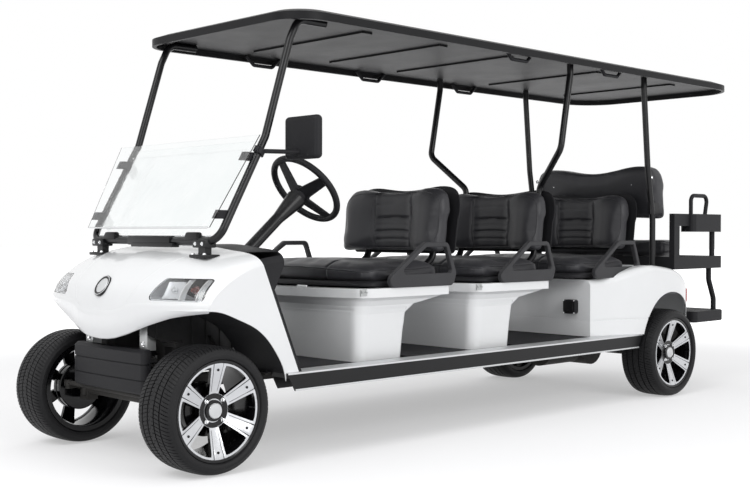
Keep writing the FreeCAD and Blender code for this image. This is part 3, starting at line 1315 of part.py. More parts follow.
def hoop_tube(radius):
    """The bent bar round the windshield, its ends run back under the roof."""
    top, x, drop = ceiling - s.hoop_radius - s.seat_gap, s.hoop_half, s.hoop_drop
    neck = s.front_axle_y + s.hoop_neck_in
    legs = [(x, neck + s.hoop_run + drop, top), (x, neck + drop, top), (x, neck - drop, top - drop * 4),
            (x, s.front_axle_y + s.hoop_knee_in, s.hoop_knee_z),
            (x, s.front_axle_y + s.hoop_foot_in, s.hoop_foot_z)]
    return tube(legs + [(-x, y, z) for x, y, z in reversed(legs)], radius, s.bend_radius)


def posts():
    """Windshield hoop on two feet, and the two pairs of roof posts."""
    r, low = s.hoop_radius, s.hood_top - s.hood_fall * 2
    foot = Part.makeBox(float(s.foot_width), float(r * 2), float(s.hoop_foot_z - low),
                        vec(s.hoop_half - s.foot_in - s.foot_width / 2,
                            s.front_axle_y + s.hoop_foot_in - r, low))
    foot = foot.cut(nose_solid(-s.seat_gap))
    keep(feature("front_hoop", hoop_tube(r).fuse([foot, mirrored(foot)])), "front_hoop")
    middle = back_bar(s.mid_post_low_half, row_y[1])
    middle.append((s.mid_post_low_half, back_rear(row_y[1], s.mid_post_low_z) + tube_offset,
                   s.mid_post_low_z))
    half = s.mid_post_half
    middle += [(half, row_y[1] + s.mid_post_bend_in, s.mid_post_bend_z),
               (half, row_y[1] + s.mid_post_top_in, ceiling - s.bend_radius),
               (half, row_y[1] + s.mid_post_top_in, ceiling - s.seat_gap)]
    keep(feature("middle_posts", both(tube(middle, s.post_radius, s.bend_radius))), "middle_posts")
    x, top, foot_y = s.rear_post_half, rear_axle_y + s.rear_post_top_in, rear_axle_y + s.rear_post_foot_in
    route = [(x, top, ceiling - s.seat_gap), (x, top, ceiling - s.bend_radius),
             (x, rear_axle_y + s.rear_post_bend_in, s.rear_post_bend_z),
             (x, foot_y, s.rear_back_low), (x, foot_y, s.rear_post_foot_z)]
    post = tube(route, s.post_radius, s.bend_radius)
    bracket = Part.makeBox(float(s.post_radius), float(s.rear_back_lean * 2), float(s.clip_height * 2),
                           vec(x - s.post_radius / 2, foot_y - s.rear_back_lean / 2,
                               s.rear_back_low + s.clip_height))
    post = largest(post.fuse(bracket).cut([body_solid(-s.seat_gap), rear_back_solid(s.seat_gap)]))
    keep(feature("rear_posts", both(post)), "rear_posts")


posts()


def handles():
    """Grab loops under the roof's side rims: three on the far side, two on the driver's."""
    x, high = roof_half - s.handle_margin, ceiling - s.seat_gap
    low, loops = high - s.handle_drop, []
    for y0, across in ((row_y[0], (-1,)), (row_y[1], sides), (row_y[2], sides)):
        y = y0 + s.handle_in
        foot, grip = s.handle_length / 2, s.handle_grip / 2
        for side in across:
            route = [(x * side, y - foot, high), (x * side, y - grip, low), (x * side, y + grip, low),
                     (x * side, y + foot, high)]
            loops.append(tube(route, s.handle_radius, s.handle_radius * 2))
    cap = slab(roof_half, (row_y[0], high), (row_y[2] + s.lip_length, high + s.overrun))
    keep(feature("roof_handles", Part.makeCompound([loop.cut(cap) for loop in loops])), "roof_handles")


handles()


# Windshield: fixed lower pane in the hoop, upper pane folded down in front of it
def hoop_y(z):
    share = (z - s.hoop_foot_z) / (s.hoop_knee_z - s.hoop_foot_z)
    return s.front_axle_y + s.hoop_foot_in + (s.hoop_knee_in - s.hoop_foot_in) * float(share)


def pane(low_half, high_half, low, high, forward):
    """A leaning sheet parallel to the hoop's lower legs."""
    a, b = hoop_y(low) - forward, hoop_y(high) - forward
    face = Part.Face(polygon([(-low_half, a, low), (low_half, a, low), (high_half, b, high),
                              (-high_half, b, high)]))
    return face.extrude(vec(zero, -s.pane_thick, zero))


def windshield():
    """A fixed lower pane in the hoop and an upper one folded down in front, held by clips."""
    sheet_shape = pane(s.hoop_half, s.hoop_half, s.lower_pane_low, s.lower_pane_high, zero)
    sheet_shape = sheet_shape.cut(hoop_tube(s.hoop_radius + s.seat_gap))
    keep(feature("windshield_lower", largest(sheet_shape)), "windshield_lower")
    stored = pane(s.hoop_half - s.stored_low_in, s.hoop_half + s.stored_high_out,
                  s.stored_pane_low, s.stored_pane_high, s.stored_gap)
    keep(feature("windshield_upper", stored), "windshield_upper")
    clips = []
    for low in (s.stored_pane_low + s.clip_height, s.stored_pane_high - s.clip_height * 3):
        high, start = low + s.clip_height, s.hoop_half - s.clip_width
        gap, back = s.stored_gap - s.seat_gap, s.pane_thick + s.seat_gap
        block = extrude([(start, hoop_y(low) - gap, low), (start, hoop_y(high) - gap, high),
                         (start, hoop_y(high) - back, high), (start, hoop_y(low) - back, low)],
                        (s.clip_width, zero, zero))
        block = largest(block.cut(hoop_tube(s.hoop_radius + s.seat_gap)))
        clips += [block, mirrored(block)]
    keep(feature("windshield_clips", Part.makeCompound(clips)), "windshield_clips")


windshield()


# Steering wheel and column on one slanted axis
def steering():
    """Dished wheel with two broad spokes in line and a third, and the shrouded column."""
    radius, grip, hub = float(s.wheel_radius), float(s.wheel_grip), float(s.wheel_hub)
    dish, drop = float(s.wheel_dish), float(s.wheel_hub_length)
    ring = Part.makeTorus(radius, grip)
    boss = Part.makeCone(hub * 0.72, hub, drop, V(0, 0, -dish - drop / 2))
    thick, wide = float(s.spoke_thick), float(s.spoke_width)
    spokes = []
    for angle in (0, 180, 270):
        start, end = V(hub / 2, wide / 2, -dish), V(radius, wide / 3, 0)
        lift = V(0, 0, thick)
        plate = Part.Face(Part.makePolygon([start, end, V(end.x, -end.y, end.z),
                                            V(start.x, -start.y, start.z), start]))
        bar = plate.extrude(lift)
        bar.translate(lift * -0.5)
        bar.rotate(V(0, 0, 0), V(0, 0, 1), angle + float(s.spoke_turn))
        spokes.append(bar)
    shaft_end = float(s.column_start) + drop / 2
    shaft = Part.makeCylinder(float(s.shaft_radius), shaft_end, V(0, 0, -shaft_end))
    wheel = ring.fuse([boss, shaft] + spokes)
    keep(feature("steering_wheel", slanted(wheel)), "steering_wheel")
    bore = Part.makeCylinder(float(s.shaft_radius + s.running_clearance), drop * 2,
                             V(0, 0, -float(s.column_start) - drop * 2))
    length = float(s.shroud_length)
    shroud = Part.makeCone(float(s.column_radius), float(s.shroud_radius), length,
                           V(0, 0, -float(s.column_start) - length))
    casing = column_bar(s.column_radius).fuse(shroud).cut(bore)
    keep(feature("steering_column", slanted(casing)), "steering_column")


steering()


def mirror_housing():
    """Rounded housing on a bent stay, clamped to the hoop."""
    w, t, h = s.mirror_width, s.mirror_thick, s.mirror_height
    x, y = s.hoop_half + s.mirror_out, s.front_axle_y + s.mirror_in
    shell = Part.makeBox(float(w), float(t), float(h), vec(x - w / 2, y, s.mirror_z - h / 2))
    shell = shell.makeFillet(float(t) * 0.45, shell.Edges)
    z = s.mirror_z - h / 3
    stay = tube([(s.hoop_half, hoop_y(z), z), (x, y + t / 2, z)], s.handle_radius, s.bend_radius)
    axis = vec(zero, hoop_y(z + s.mirror_clamp) - hoop_y(z), s.mirror_clamp)
    clamp = Part.makeCylinder(float(s.mirror_clamp), float(s.mirror_clamp),
                              vec(s.hoop_half, hoop_y(z), z) - axis * 0.5, axis)
    clamp = clamp.cut(slab(s.hoop_half, (hoop_y(z) - w, z - w), (hoop_y(z) + w, z + w)))
    stay = largest(stay.fuse(clamp).cut(hoop_tube(s.hoop_radius + s.seat_gap)))
    keep(feature("mirror", shell.fuse(stay)), "mirror")


def toe_z(y):
    """Top of the toe board at a distance along the cart."""
    return s.floor_top + s.toe_rise * ((floor_front - y) / s.toe_run) + s.seat_gap


def pedals():
    """A wide brake and a narrow accelerator on arms from the toe board."""
    pads = []
    for shift, width in ((zero, s.pedal_width), (-s.pedal_width * 1.4, s.pedal_width * 0.6)):
        x, y = s.pedal_x + shift, s.front_axle_y + s.pedal_in + s.pedal_thick * 2
        low = s.floor_top + s.toe_rise * 0.6
        pad = Part.makeBox(float(width), float(s.pedal_thick), float(s.pedal_height), vec(x, y, low))
        pad = pad.makeFillet(float(s.pedal_thick) / 3, pad.Edges)
        arm_x, back = x + width / 4, y - s.pedal_height * 0.8
        near, mid = back + s.pedal_height / 3, y + s.pedal_thick / 2
        arm = extrude([(arm_x, back, toe_z(back)), (arm_x, near, toe_z(near)),
                       (arm_x, mid, low + s.pedal_height / 3), (arm_x, mid, low + s.pedal_height / 2)],
                      (width / 2, zero, zero))
        pads.append(pad.fuse(arm))
    keep(feature("pedals", Part.makeCompound(pads)), "pedals")


def charging_socket():
    """Boxed socket with an open mouth on the front of the rear body."""
    half, depth = s.socket_size / 2, s.socket_depth
    y = body_front - s.seat_gap
    outline = [(s.socket_x - half, s.socket_z - half), (s.socket_x + half, s.socket_z - half),
               (s.socket_x + half, s.socket_z + half), (s.socket_x - half, s.socket_z + half)]
    shell = Part.Face(rounded_loop([(x, y - depth, z) for x, z in outline], half / 3))
    shell = shell.extrude(vec(zero, depth, zero))
    mouth = Part.makeCylinder(float(half * 0.6), float(depth), vec(s.socket_x, y - depth * 1.4, s.socket_z),
                              V(0, 1, 0))
    keep(feature("charging_socket", shell.cut(mouth)), "charging_socket")


mirror_housing()
pedals()
charging_socket()




def finish():
    """Check every object and write one file per sub-part."""
    doc.recompute()
    for obj in doc.Objects:
        bad = {"Invalid", "Error"} & set(obj.State)
        if bad:
            raise SystemExit(f"{obj.Label}: {obj.State}")
    for obj in nodes:
        shape = obj.Shape
        if shape.isNull() or not shape.isValid() or not shape.Solids:
            raise SystemExit(f"{obj.Label}: shape is not a valid solid")
    whole = nodes[0].Shape.BoundBox
    for obj in nodes:
        whole = whole.united(obj.Shape.BoundBox)
        obj.Shape.exportStep(f"parts/{obj.Label}.step")
    print("nodes", len(nodes), "box", whole)


finish()
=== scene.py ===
"""Looks of the golf cart: camera, studio, materials and the detail pieces laid over its fixed frame."""

import math

import bmesh
import bpy
import numpy as np
from mathutils import Matrix, Vector
from mathutils.bvhtree import BVHTree
from mathutils.geometry import delaunay_2d_cdt


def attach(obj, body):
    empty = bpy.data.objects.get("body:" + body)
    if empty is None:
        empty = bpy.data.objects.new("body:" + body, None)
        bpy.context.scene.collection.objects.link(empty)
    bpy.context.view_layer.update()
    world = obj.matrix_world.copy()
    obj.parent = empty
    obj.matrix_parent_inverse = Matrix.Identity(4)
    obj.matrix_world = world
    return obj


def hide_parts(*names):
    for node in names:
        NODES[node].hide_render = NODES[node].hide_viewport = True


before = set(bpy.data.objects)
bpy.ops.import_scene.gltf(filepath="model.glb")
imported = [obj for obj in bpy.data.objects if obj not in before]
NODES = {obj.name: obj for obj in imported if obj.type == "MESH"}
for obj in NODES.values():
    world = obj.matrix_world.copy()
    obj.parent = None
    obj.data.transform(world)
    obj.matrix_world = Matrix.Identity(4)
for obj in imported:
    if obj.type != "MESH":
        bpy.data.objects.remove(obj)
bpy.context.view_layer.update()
SIDES, DOWN, REARWARD = (1, -1), (0, 0, -1), (0, 1, 0)


# Studio: camera, lamps, white surround and floor
LENS, SENSOR, EYE = 54.65, 36.0, (4.0543, -4.4353, 0.9242)
YAW, PITCH_DOWN, ROLL = 45.71, 0.9075, 0.0815
# Name, place, aim, width and watts
LAMPS = (("key", (1.5, -6.5, 6.0), (0, -0.6, 0.6), 4.0, 185),
         ("side", (7.0, -0.5, 3.2), (0, 0.0, 0.5), 4.0, 170),
         ("front_low", (2.0, -7.5, 1.6), (0, -1.2, 0.6), 3.0, 25))
SURROUND = 0.74
WHITE, FLOOR_GREY = (1, 1, 1, 1), (0.62, 0.62, 0.63, 1)
# The floor keeps the shadow near the cart and fades to white between these distances
FADE_START, FADE_END, NEAR_GLOW = 3.2, 7.0, 0.4


def look(yaw, pitch, roll):
    """World directions of a camera turned left by yaw, down by pitch and rolled."""
    yaw, pitch, roll = (math.radians(a) for a in (yaw, pitch, roll))
    ahead = Vector((-math.sin(yaw), math.cos(yaw), 0))
    up = Vector((0, 0, 1))
    forward = ahead * math.cos(pitch) - up * math.sin(pitch)
    above = ahead * math.sin(pitch) + up * math.cos(pitch)
    across = Vector((math.cos(yaw), math.sin(yaw), 0))
    right = across * math.cos(roll) + above * math.sin(roll)
    above = above * math.cos(roll) - across * math.sin(roll)
    return Matrix((right, above, -forward)).transposed()


def make_camera():
    data = bpy.data.cameras.new("camera")
    data.lens, data.sensor_width = LENS, SENSOR
    data.clip_start, data.clip_end = 0.05, 200
    camera = bpy.data.objects.new("camera", data)
    bpy.context.scene.collection.objects.link(camera)
    camera.matrix_world = Matrix.Translation(EYE) @ look(YAW, PITCH_DOWN, ROLL).to_4x4()
    bpy.context.scene.camera = camera


def lamp(name, at, towards, size, watts):
    data = bpy.data.lights.new(name, "AREA")
    data.shape, data.size, data.energy = "DISK", size, watts
    obj = bpy.data.objects.new(name, data)
    obj.location = at
    obj.rotation_euler = (Vector(towards) - Vector(at)).to_track_quat("-Z", "Y").to_euler()
    bpy.context.scene.collection.objects.link(obj)


def add(tree, kind, *sources, **values):
    """A node with its first inputs linked to the sources; a value goes to the socket or setting of its name."""
    made = tree.nodes.new(kind)
    for key, value in values.items():
        socket = next((i for i in made.inputs if i.name.replace(" ", "") == key and i.enabled), None)
        if socket is None:
            setattr(made, key, value)
        elif isinstance(value, bpy.types.NodeSocket):
            tree.links.new(value, socket)
        else:
            socket.default_value = value
    for source, socket in zip(sources, made.inputs):
        tree.links.new(source, socket)
    return made


def seen_directly(tree):
    """1 for camera, glossy and transmission rays."""
    rays = add(tree, "ShaderNodeLightPath").outputs
    first = add(tree, "ShaderNodeMath", rays["Is Camera Ray"], rays["Is Glossy Ray"], operation="MAXIMUM")
    return add(tree, "ShaderNodeMath", first.outputs[0], rays["Is Transmission Ray"],
               operation="MAXIMUM").outputs[0]


def make_world():
    world = bpy.data.worlds.new("surround")
    bpy.context.scene.world = world
    world.use_nodes = True
    tree = world.node_tree
    base = tree.nodes["Background"]
    base.inputs["Color"].default_value = WHITE
    base.inputs["Strength"].default_value = SURROUND
    seen = add(tree, "ShaderNodeBackground", Color=WHITE, Strength=1.0)
    mix = add(tree, "ShaderNodeMixShader", seen_directly(tree), base.outputs[0], seen.outputs[0])
    tree.links.new(mix.outputs[0], tree.nodes["World Output"].inputs[0])


def make_floor():
    bpy.ops.mesh.primitive_circle_add(vertices=96, radius=60, fill_type="NGON")
    floor = bpy.context.object
    floor.name = "floor"
    material = bpy.data.materials.new("floor")
    material.use_nodes = True
    tree = material.node_tree
    tree.nodes.remove(tree.nodes["Principled BSDF"])
    diffuse = add(tree, "ShaderNodeBsdfDiffuse", Color=FLOOR_GREY)
    coord = add(tree, "ShaderNodeTexCoord")
    length = add(tree, "ShaderNodeVectorMath", coord.outputs["Object"], operation="LENGTH")
    fade = add(tree, "ShaderNodeMapRange", length.outputs["Value"], interpolation_type="SMOOTHSTEP",
               FromMin=FADE_START, FromMax=FADE_END, ToMin=NEAR_GLOW, ToMax=1.0)
    strength = add(tree, "ShaderNodeMath", fade.outputs[0], seen_directly(tree), operation="MULTIPLY")
    glow = add(tree, "ShaderNodeEmission", Color=WHITE, Strength=strength.outputs[0])
    both = add(tree, "ShaderNodeAddShader", diffuse.outputs[0], glow.outputs[0])
    tree.links.new(both.outputs[0], tree.nodes["Material Output"].inputs[0])
    floor.data.materials.append(material)


make_camera()
make_world()
make_floor()
for name, at, towards, size, watts in LAMPS:
    lamp(name, at, towards, size, watts)
bpy.context.scene.view_settings.view_transform = "Standard"


# Materials
DUST, DUST_HEIGHT = (0.32, 0.3, 0.27, 1), 0.55
CLEAR_IOR = {"acrylic": 1.49, "lens": 1.45}


def shade(colour, factor):
    return (*[min(1.0, c * factor) for c in colour], 1)


def surface(name, colour, rough, specular=0.5, spread=0.08, grain=0.0, grain_mm=2, metal=0.0, coat=0.0,
            cells=False, stretch=(1, 1, 1), sheen=0.0, rough_spread=0.06, dust=0.0):
    """A surface whose tone and gloss wander slowly, under a fine grain of a real size in millimetres."""
    material = bpy.data.materials.new(name)
    material.use_nodes = True
    tree = material.node_tree
    shader = tree.nodes["Principled BSDF"]
    coord = add(tree, "ShaderNodeTexCoord")
    stretched = add(tree, "ShaderNodeMapping", coord.outputs["Object"], Scale=stretch)
    wander = add(tree, "ShaderNodeTexNoise", stretched.outputs[0], Scale=6.0, Detail=5.0, Roughness=0.6)
    tone = add(tree, "ShaderNodeValToRGB", wander.outputs["Fac"])
    for stop, at, factor in zip(tone.color_ramp.elements, (0.3, 0.7), (1 - spread, 1 + spread)):
        stop.position, stop.color = at, shade(colour, factor)
    colour_out = tone.outputs[0]
    if dust:
        parts = add(tree, "ShaderNodeSeparateXYZ", coord.outputs["Object"])
        low = add(tree, "ShaderNodeMapRange", parts.outputs[2], FromMin=0.0, FromMax=DUST_HEIGHT, ToMin=dust,
                  ToMax=0.0)
        patch = add(tree, "ShaderNodeMath", low.outputs[0], wander.outputs["Fac"], operation="MULTIPLY")
        mix = add(tree, "ShaderNodeMix", patch.outputs[0], data_type="RGBA")
        mix.inputs[7].default_value = DUST
        tree.links.new(colour_out, mix.inputs[6])
        colour_out = mix.outputs[2]
    tree.links.new(colour_out, shader.inputs["Base Color"])
    gloss = add(tree, "ShaderNodeMapRange", wander.outputs["Fac"], ToMin=max(0.02, rough - rough_spread),
                ToMax=min(1.0, rough + rough_spread))
    tree.links.new(gloss.outputs[0], shader.inputs["Roughness"])
    if grain:
        size = grain_mm / 1000
        kind, options, result = (("ShaderNodeTexVoronoi", {"feature": "SMOOTH_F1"}, "Distance") if cells
                                 else ("ShaderNodeTexNoise", {"Detail": 3.0}, "Fac"))
        fine = add(tree, kind, stretched.outputs[0], Scale=1 / size, **options)
        bump = add(tree, "ShaderNodeBump", Strength=grain, Distance=size * 0.35, Height=fine.outputs[result])
        tree.links.new(bump.outputs[0], shader.inputs["Normal"])
    for key, value in (("Metallic", metal), ("Specular IOR Level", specular), ("Coat Weight", coat),
                       ("Coat Roughness", 0.06), ("Sheen Weight", sheen)):
        shader.inputs[key].default_value = value
    return material


# Name, colour, roughness, specular, spread of tone, grain, its size in mm, then what only some have
MAT = {key: surface(*row, **more) for key, row, more in (
    ("white", ("white_paint", (0.8, 0.81, 0.82), 0.24, 0.5, 0.012, 0.04, 4), dict(coat=0.5, dust=0.1)),
    ("plastic", ("black_grained_plastic", (0.016, 0.016, 0.018), 0.5, 0.16, 0.15, 0.35, 1.6), dict(cells=True)),
    ("smooth", ("black_moulding", (0.01, 0.01, 0.011), 0.34, 0.24, 0.15, 0.1, 3), {}),
    ("roof", ("roof_plastic", (0.01, 0.01, 0.011), 0.46, 0.15, 0.12, 0.3, 2.2), dict(cells=True)),
    ("steel", ("powder_coated_steel", (0.007, 0.007, 0.008), 0.3, 0.26, 0.2, 0.12, 1.4), dict(coat=0.06)),
    ("chassis", ("chassis_steel", (0.016, 0.016, 0.017), 0.55, 0.14, 0.35, 0.3, 3), dict(dust=0.35)),
    ("leather", ("seat_leather", (0.026, 0.026, 0.03), 0.42, 0.38, 0.1, 0.45, 1.9),
     dict(cells=True, sheen=0.05)),
    ("rubber", ("tyre_rubber", (0.011, 0.011, 0.012), 0.52, 0.22, 0.18, 0.35, 2.5), {}),
    ("mat", ("ribbed_mat", (0.03, 0.03, 0.033), 0.7, 0.14, 0.2, 0.5, 6), dict(stretch=(1, 0.06, 1))),
    ("alloy", ("machined_alloy", (0.62, 0.63, 0.65), 0.28, 0.5, 0.05, 0.15, 1.2), dict(metal=1.0)),
    ("gloss", ("gloss_black", (0.004, 0.004, 0.005), 0.16, 0.3, 0.2, 0.03, 4), dict(coat=0.15)),
    ("chrome", ("bright_chrome", (0.86, 0.87, 0.88), 0.08, 0.5, 0.03, 0.03, 4), dict(metal=1.0, rough_spread=0.03)),
    ("strip", ("brushed_aluminium", (0.66, 0.67, 0.68), 0.36, 0.5, 0.06, 0.25, 1.2),
     dict(metal=0.7, stretch=(1, 0.02, 1))),
    ("acrylic", ("clear_acrylic", (0.97, 0.99, 0.99), 0.03, 0.5, 0.02, 0.05, 30), dict(rough_spread=0.01)),
    ("lens", ("lamp_lens", (0.97, 0.98, 0.99), 0.04, 0.5, 0.02, 0.05, 30), dict(rough_spread=0.01)),
    ("cap", ("hub_cap", (0.62, 0.63, 0.64), 0.3, 0.5, 0.05, 0.1, 2), dict(metal=0.6)),
    # Lamp reflector: a light grey with little metal, a painted reflection in place of the bright surround its real
    # chrome would show
    ("bowl", ("reflector_with_painted_reflection", (0.66, 0.67, 0.69), 0.25, 0.5, 0.05, 0.25, 6), dict(metal=0.25)),
    ("amber", ("amber_bulb", (0.16, 0.045, 0.04), 0.2, 0.5, 0.1, 0.05, 3), dict(coat=0.4)),
    ("tail", ("tail_lens", (0.36, 0.012, 0.014), 0.16, 0.5, 0.1, 0.6, 5), dict(coat=0.5)),
    ("liner", ("arch_liner", (0.02, 0.02, 0.021), 0.6, 0.12, 0.35, 0.4, 4), dict(dust=0.15)),
    ("rest", ("grey_grained_plastic", (0.04, 0.04, 0.043), 0.5, 0.24, 0.12, 0.35, 1.6), dict(cells=True)),
    ("zinc", ("zinc_plate", (0.46, 0.47, 0.47), 0.38, 0.5, 0.12, 0.2, 3), dict(metal=0.8)),
    ("battery", ("battery_case", (0.05, 0.05, 0.055), 0.5, 0.5, 0.08, 0.2, 3), {}),
)}
for key, ior in CLEAR_IOR.items():
    inputs = MAT[key].node_tree.nodes["Principled BSDF"].inputs
    inputs["Transmission Weight"].default_value, inputs["IOR"].default_value = 1.0, ior


def named(*starts):
    return [node for node in NODES if node.startswith(starts)]


PAINT = {
    "white": ["front_cowl", "rear_body", *named("seat_base_")],
    "plastic": ["dashboard", "front_bumper", "front_liners", "backrest_shells", "rear_seat_frame", "rear_arms",
                "rear_footrest", "mirror", "steering_wheel", "windshield_clips", "charging_socket", "roof_handles"],
    "rest": named("hip_rests_"),
    "smooth": ["sills"],
    "chassis": ["chassis_frame", "front_axle", "tie_rod", "rear_axle", "rear_springs", "front_dampers",
                "floor_pan", "drive_motor", *named("knuckle_")],
    "steel": ["front_hoop", "middle_posts", "rear_posts", "backrest_frames", "steering_column", "pedals"],
    "leather": ["rear_cushion", "rear_backrest", "backrest_front", "backrest_middle", "backrest_third",
                *named("cushion_")],
    "mat": ["floor_mats"],
    "roof": ["roof"],
    "rubber": named("tyre_"),
    "alloy": named("rim_"),
    "acrylic": ["windshield_lower", "windshield_upper"],
    "lens": ["headlamps"],
    "bowl": ["lamp_bowls"],
    "tail": ["tail_lamps"],
    "battery": ["battery_block"],
}
for key, names in PAINT.items():
    for name in names:
        NODES[name].data.materials.clear()
        NODES[name].data.materials.append(MAT[key])


# Mesh tools
class Shape:
    """Points and faces gathered for one piece, each face marked with its material."""

    def __init__(self):
        self.points, self.faces, self.marks = [], [], []

    def add(self, made, mark=0):
        points, faces = made
        start = len(self.points)
        self.points.extend(tuple(p) for p in points)
        self.faces.extend(tuple(start + i for i in face) for face in faces)
        self.marks.extend([mark] * len(faces))
        return self

    def make(self, name, body, slot, keys, *nodes, smooth=35):
        mesh = bpy.data.meshes.new(name)
        mesh.from_pydata(self.points, [], self.faces)
        mesh.polygons.foreach_set("material_index", self.marks)
        for key in keys:
            mesh.materials.append(MAT[key])
        work = bmesh.new()
        work.from_mesh(mesh)
        bmesh.ops.remove_doubles(work, verts=work.verts, dist=1e-6)
        bmesh.ops.recalc_face_normals(work, faces=work.faces)
        work.to_mesh(mesh)
        work.free()
        mesh.shade_smooth()
        mesh.set_sharp_from_angle(angle=math.radians(smooth))
        obj = bpy.data.objects.new(name, mesh)
        bpy.context.scene.collection.objects.link(obj)
        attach(obj, body)
        if nodes:
            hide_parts(*nodes)
        return obj


def lattice(points, rows, columns, close_rows=False, close_columns=False):
    """Faces over a grid of points given row by row."""
    faces = []
    for i in range(rows if close_rows else rows - 1):
        for j in range(columns if close_columns else columns - 1):
            below, beside = (i + 1) % rows, (j + 1) % columns
            faces.append((i * columns + j, i * columns + beside, below * columns + beside, below * columns + j))
    return points, faces


def capped(points, rows):
    """A solid of closed rings given row by row, its two ends filled in."""
    wide = len(points) // rows
    faces = lattice(points, rows, wide, False, True)[1]
    return points, faces + [tuple(range(wide)), tuple(range((rows - 1) * wide, rows * wide))]


def spin(profile, origin, axis, steps=48, closed=False):
    """A profile of (along, radius) turned about an axis."""
    axis = Vector(axis).normalized()
    side = axis.orthogonal().normalized()
    other = axis.cross(side)
    points = []
    for k in range(steps):
        a = math.tau * k / steps
        out = side * math.cos(a) + other * math.sin(a)
        points.extend(Vector(origin) + axis * along + out * radius for along, radius in profile)
    return lattice(points, steps, len(profile), True, closed)


def eased(points, radius, steps=5):
    """A path whose inner corners are rounded."""
    points = [Vector(p) for p in points]
    out = [points[0]]
    for before, at, after in zip(points, points[1:], points[2:]):
        back, ahead = before - at, after - at
        reach = min(radius, back.length * 0.45, ahead.length * 0.45)
        start, end = at + back.normalized() * reach, at + ahead.normalized() * reach
        for k in range(steps + 1):
            t = k / steps
            out.append(start * (1 - t) ** 2 + at * 2 * t * (1 - t) + end * t * t)
    return out + [points[-1]]


def pipe(path, radius, sides=12, closed=False):
    """A tube along a path, with ends filled in."""
    path = [Vector(p) for p in path]
    count = len(path)
    up = (path[1] - path[0]).orthogonal().normalized()
    points = []
    for i, at in enumerate(path):
        ahead = path[(i + 1) % count] if closed or i < count - 1 else at
        behind = path[i - 1] if closed or i > 0 else at
        along = (ahead - behind).normalized()
        up = (up - along * up.dot(along)).normalized()
        side = along.cross(up)
        for k in range(sides):
            a = math.tau * k / sides
            points.append(at + (up * math.cos(a) + side * math.sin(a)) * radius)
    return lattice(points, count, sides, True, True) if closed else capped(points, count)


def block(low, high, bevel, taper=1.0):
    """A box with rounded edges, its top narrower by taper."""
    low, high = Vector(low), Vector(high)
    middle, size = (low + high) / 2, high - low
    work = bmesh.new()
    bmesh.ops.create_cube(work, size=1.0)
    for vert in work.verts:
        share = taper if vert.co.z > 0 else 1.0
        vert.co = Vector((vert.co.x * size.x * share, vert.co.y * size.y * share, vert.co.z * size.z))
    bmesh.ops.bevel(work, geom=work.edges[:], offset=bevel, segments=2, profile=0.6, affect="EDGES")
    points = [v.co + middle for v in work.verts]
    faces = [[v.index for v in f.verts] for f in work.faces]
    work.free()
    return points, faces


def bolt(at, axis, radius=0.006, head=0.004, sides=6):
    """A washer, a hexagon head and its domed top."""
    washer = spin([(0, 0), (0, radius * 1.5), (head * 0.25, radius * 1.5), (head * 0.25, 0)], at, axis, 20)
    body = spin([(0, radius), (head, radius), (head * 1.2, radius * 0.8), (head * 1.25, 0)], at, axis, sides)
    start = len(washer[0])
    return washer[0] + body[0], washer[1] + [tuple(start + i for i in f) for f in body[1]]


def inside(points, outline):
    """Which of the points lie inside a closed flat outline."""
    hit = np.zeros(len(points), bool)
    x, y = points[:, 0], points[:, 1]
    for (x0, y0), (x1, y1) in zip(outline, np.roll(outline, -1, axis=0)):
        crosses = (y0 > y) != (y1 > y)
        with np.errstate(divide="ignore", invalid="ignore"):
            hit ^= crosses & (x < (x1 - x0) * (y - y0) / (y1 - y0) + x0)
    return hit


def on_sheet(points, rings):
    """Which of the points lie in the first ring and in none of the others."""
    keep = inside(points, rings[0])
    for ring in rings[1:]:
        keep &= ~inside(points, ring)
    return keep


def plate(outline, holes, front, thick, spacing):
    """Points (u, v, depth) and faces of a sheet with holes, its front at the given height function."""
    rings = [np.array(outline)] + [np.array(h) for h in holes]
    points, edges = [], []
    for ring in rings:
        start = len(points)
        points.extend(ring.tolist())
        edges.extend((start + i, start + (i + 1) % len(ring)) for i in range(len(ring)))
    reach = np.abs(rings[0]).max()
    grid = np.arange(-reach, reach + spacing, spacing)
    u, v = np.meshgrid(grid, grid)
    u[1::2] += spacing / 2
    fill = np.stack([u.ravel(), v.ravel()], 1)
    fill = fill[on_sheet(fill, rings)]
    dense = np.concatenate([np.linspace(a, b, 4) for r in rings for a, b in zip(r, np.roll(r, -1, axis=0))])
    near = np.array([np.min((dense[:, 0] - p[0]) ** 2 + (dense[:, 1] - p[1]) ** 2) for p in fill])
    points.extend(fill[near > (spacing * 0.4) ** 2].tolist())
    flat, _, faces, *_ = delaunay_2d_cdt([Vector(p) for p in points], edges, [], 1, 1e-7)
    flat = np.array([tuple(p) for p in flat])
    faces = np.array([f for f in faces if len(f) == 3])
    faces = faces[on_sheet(flat[faces].mean(axis=1), rings)]
    height = front(flat)
    top = np.column_stack([flat, height])
    low = np.column_stack([flat, height - thick])
    sides = dict.fromkeys(edge for a, b, c in faces.tolist() for edge in ((a, b), (b, c), (c, a)))
    rim = [(a, b) for a, b in sides if (b, a) not in sides]
    count = len(flat)
    walls = [(a, a + count, b + count, b) for a, b in rim]
    back = [(c + count, b + count, a + count) for a, b, c in faces.tolist()]
    return np.concatenate([top, low]), [tuple(f) for f in faces.tolist()] + back + walls


# Wheels: treaded tyres, dished faces with six spokes, hubs, caps and nuts
WHEELS = {"front_left": (0.4835, -1.862, 1), "front_right": (-0.4835, -1.862, -1),
          "rear_left": (0.5475, 1.25, 1), "rear_right": (-0.5475, 1.25, -1)}
AXLE_Z = 0.2453
SIDEWALL = ((0.0862, 0.18), (0.0866, 0.19), (0.0885, 0.1955), (0.0945, 0.1962), (0.0992, 0.198),
            (0.1018, 0.2), (0.1024, 0.203), (0.1044, 0.2075), (0.1048, 0.214), (0.1036, 0.22),
            (0.103, 0.2206), (0.0998, 0.2285))
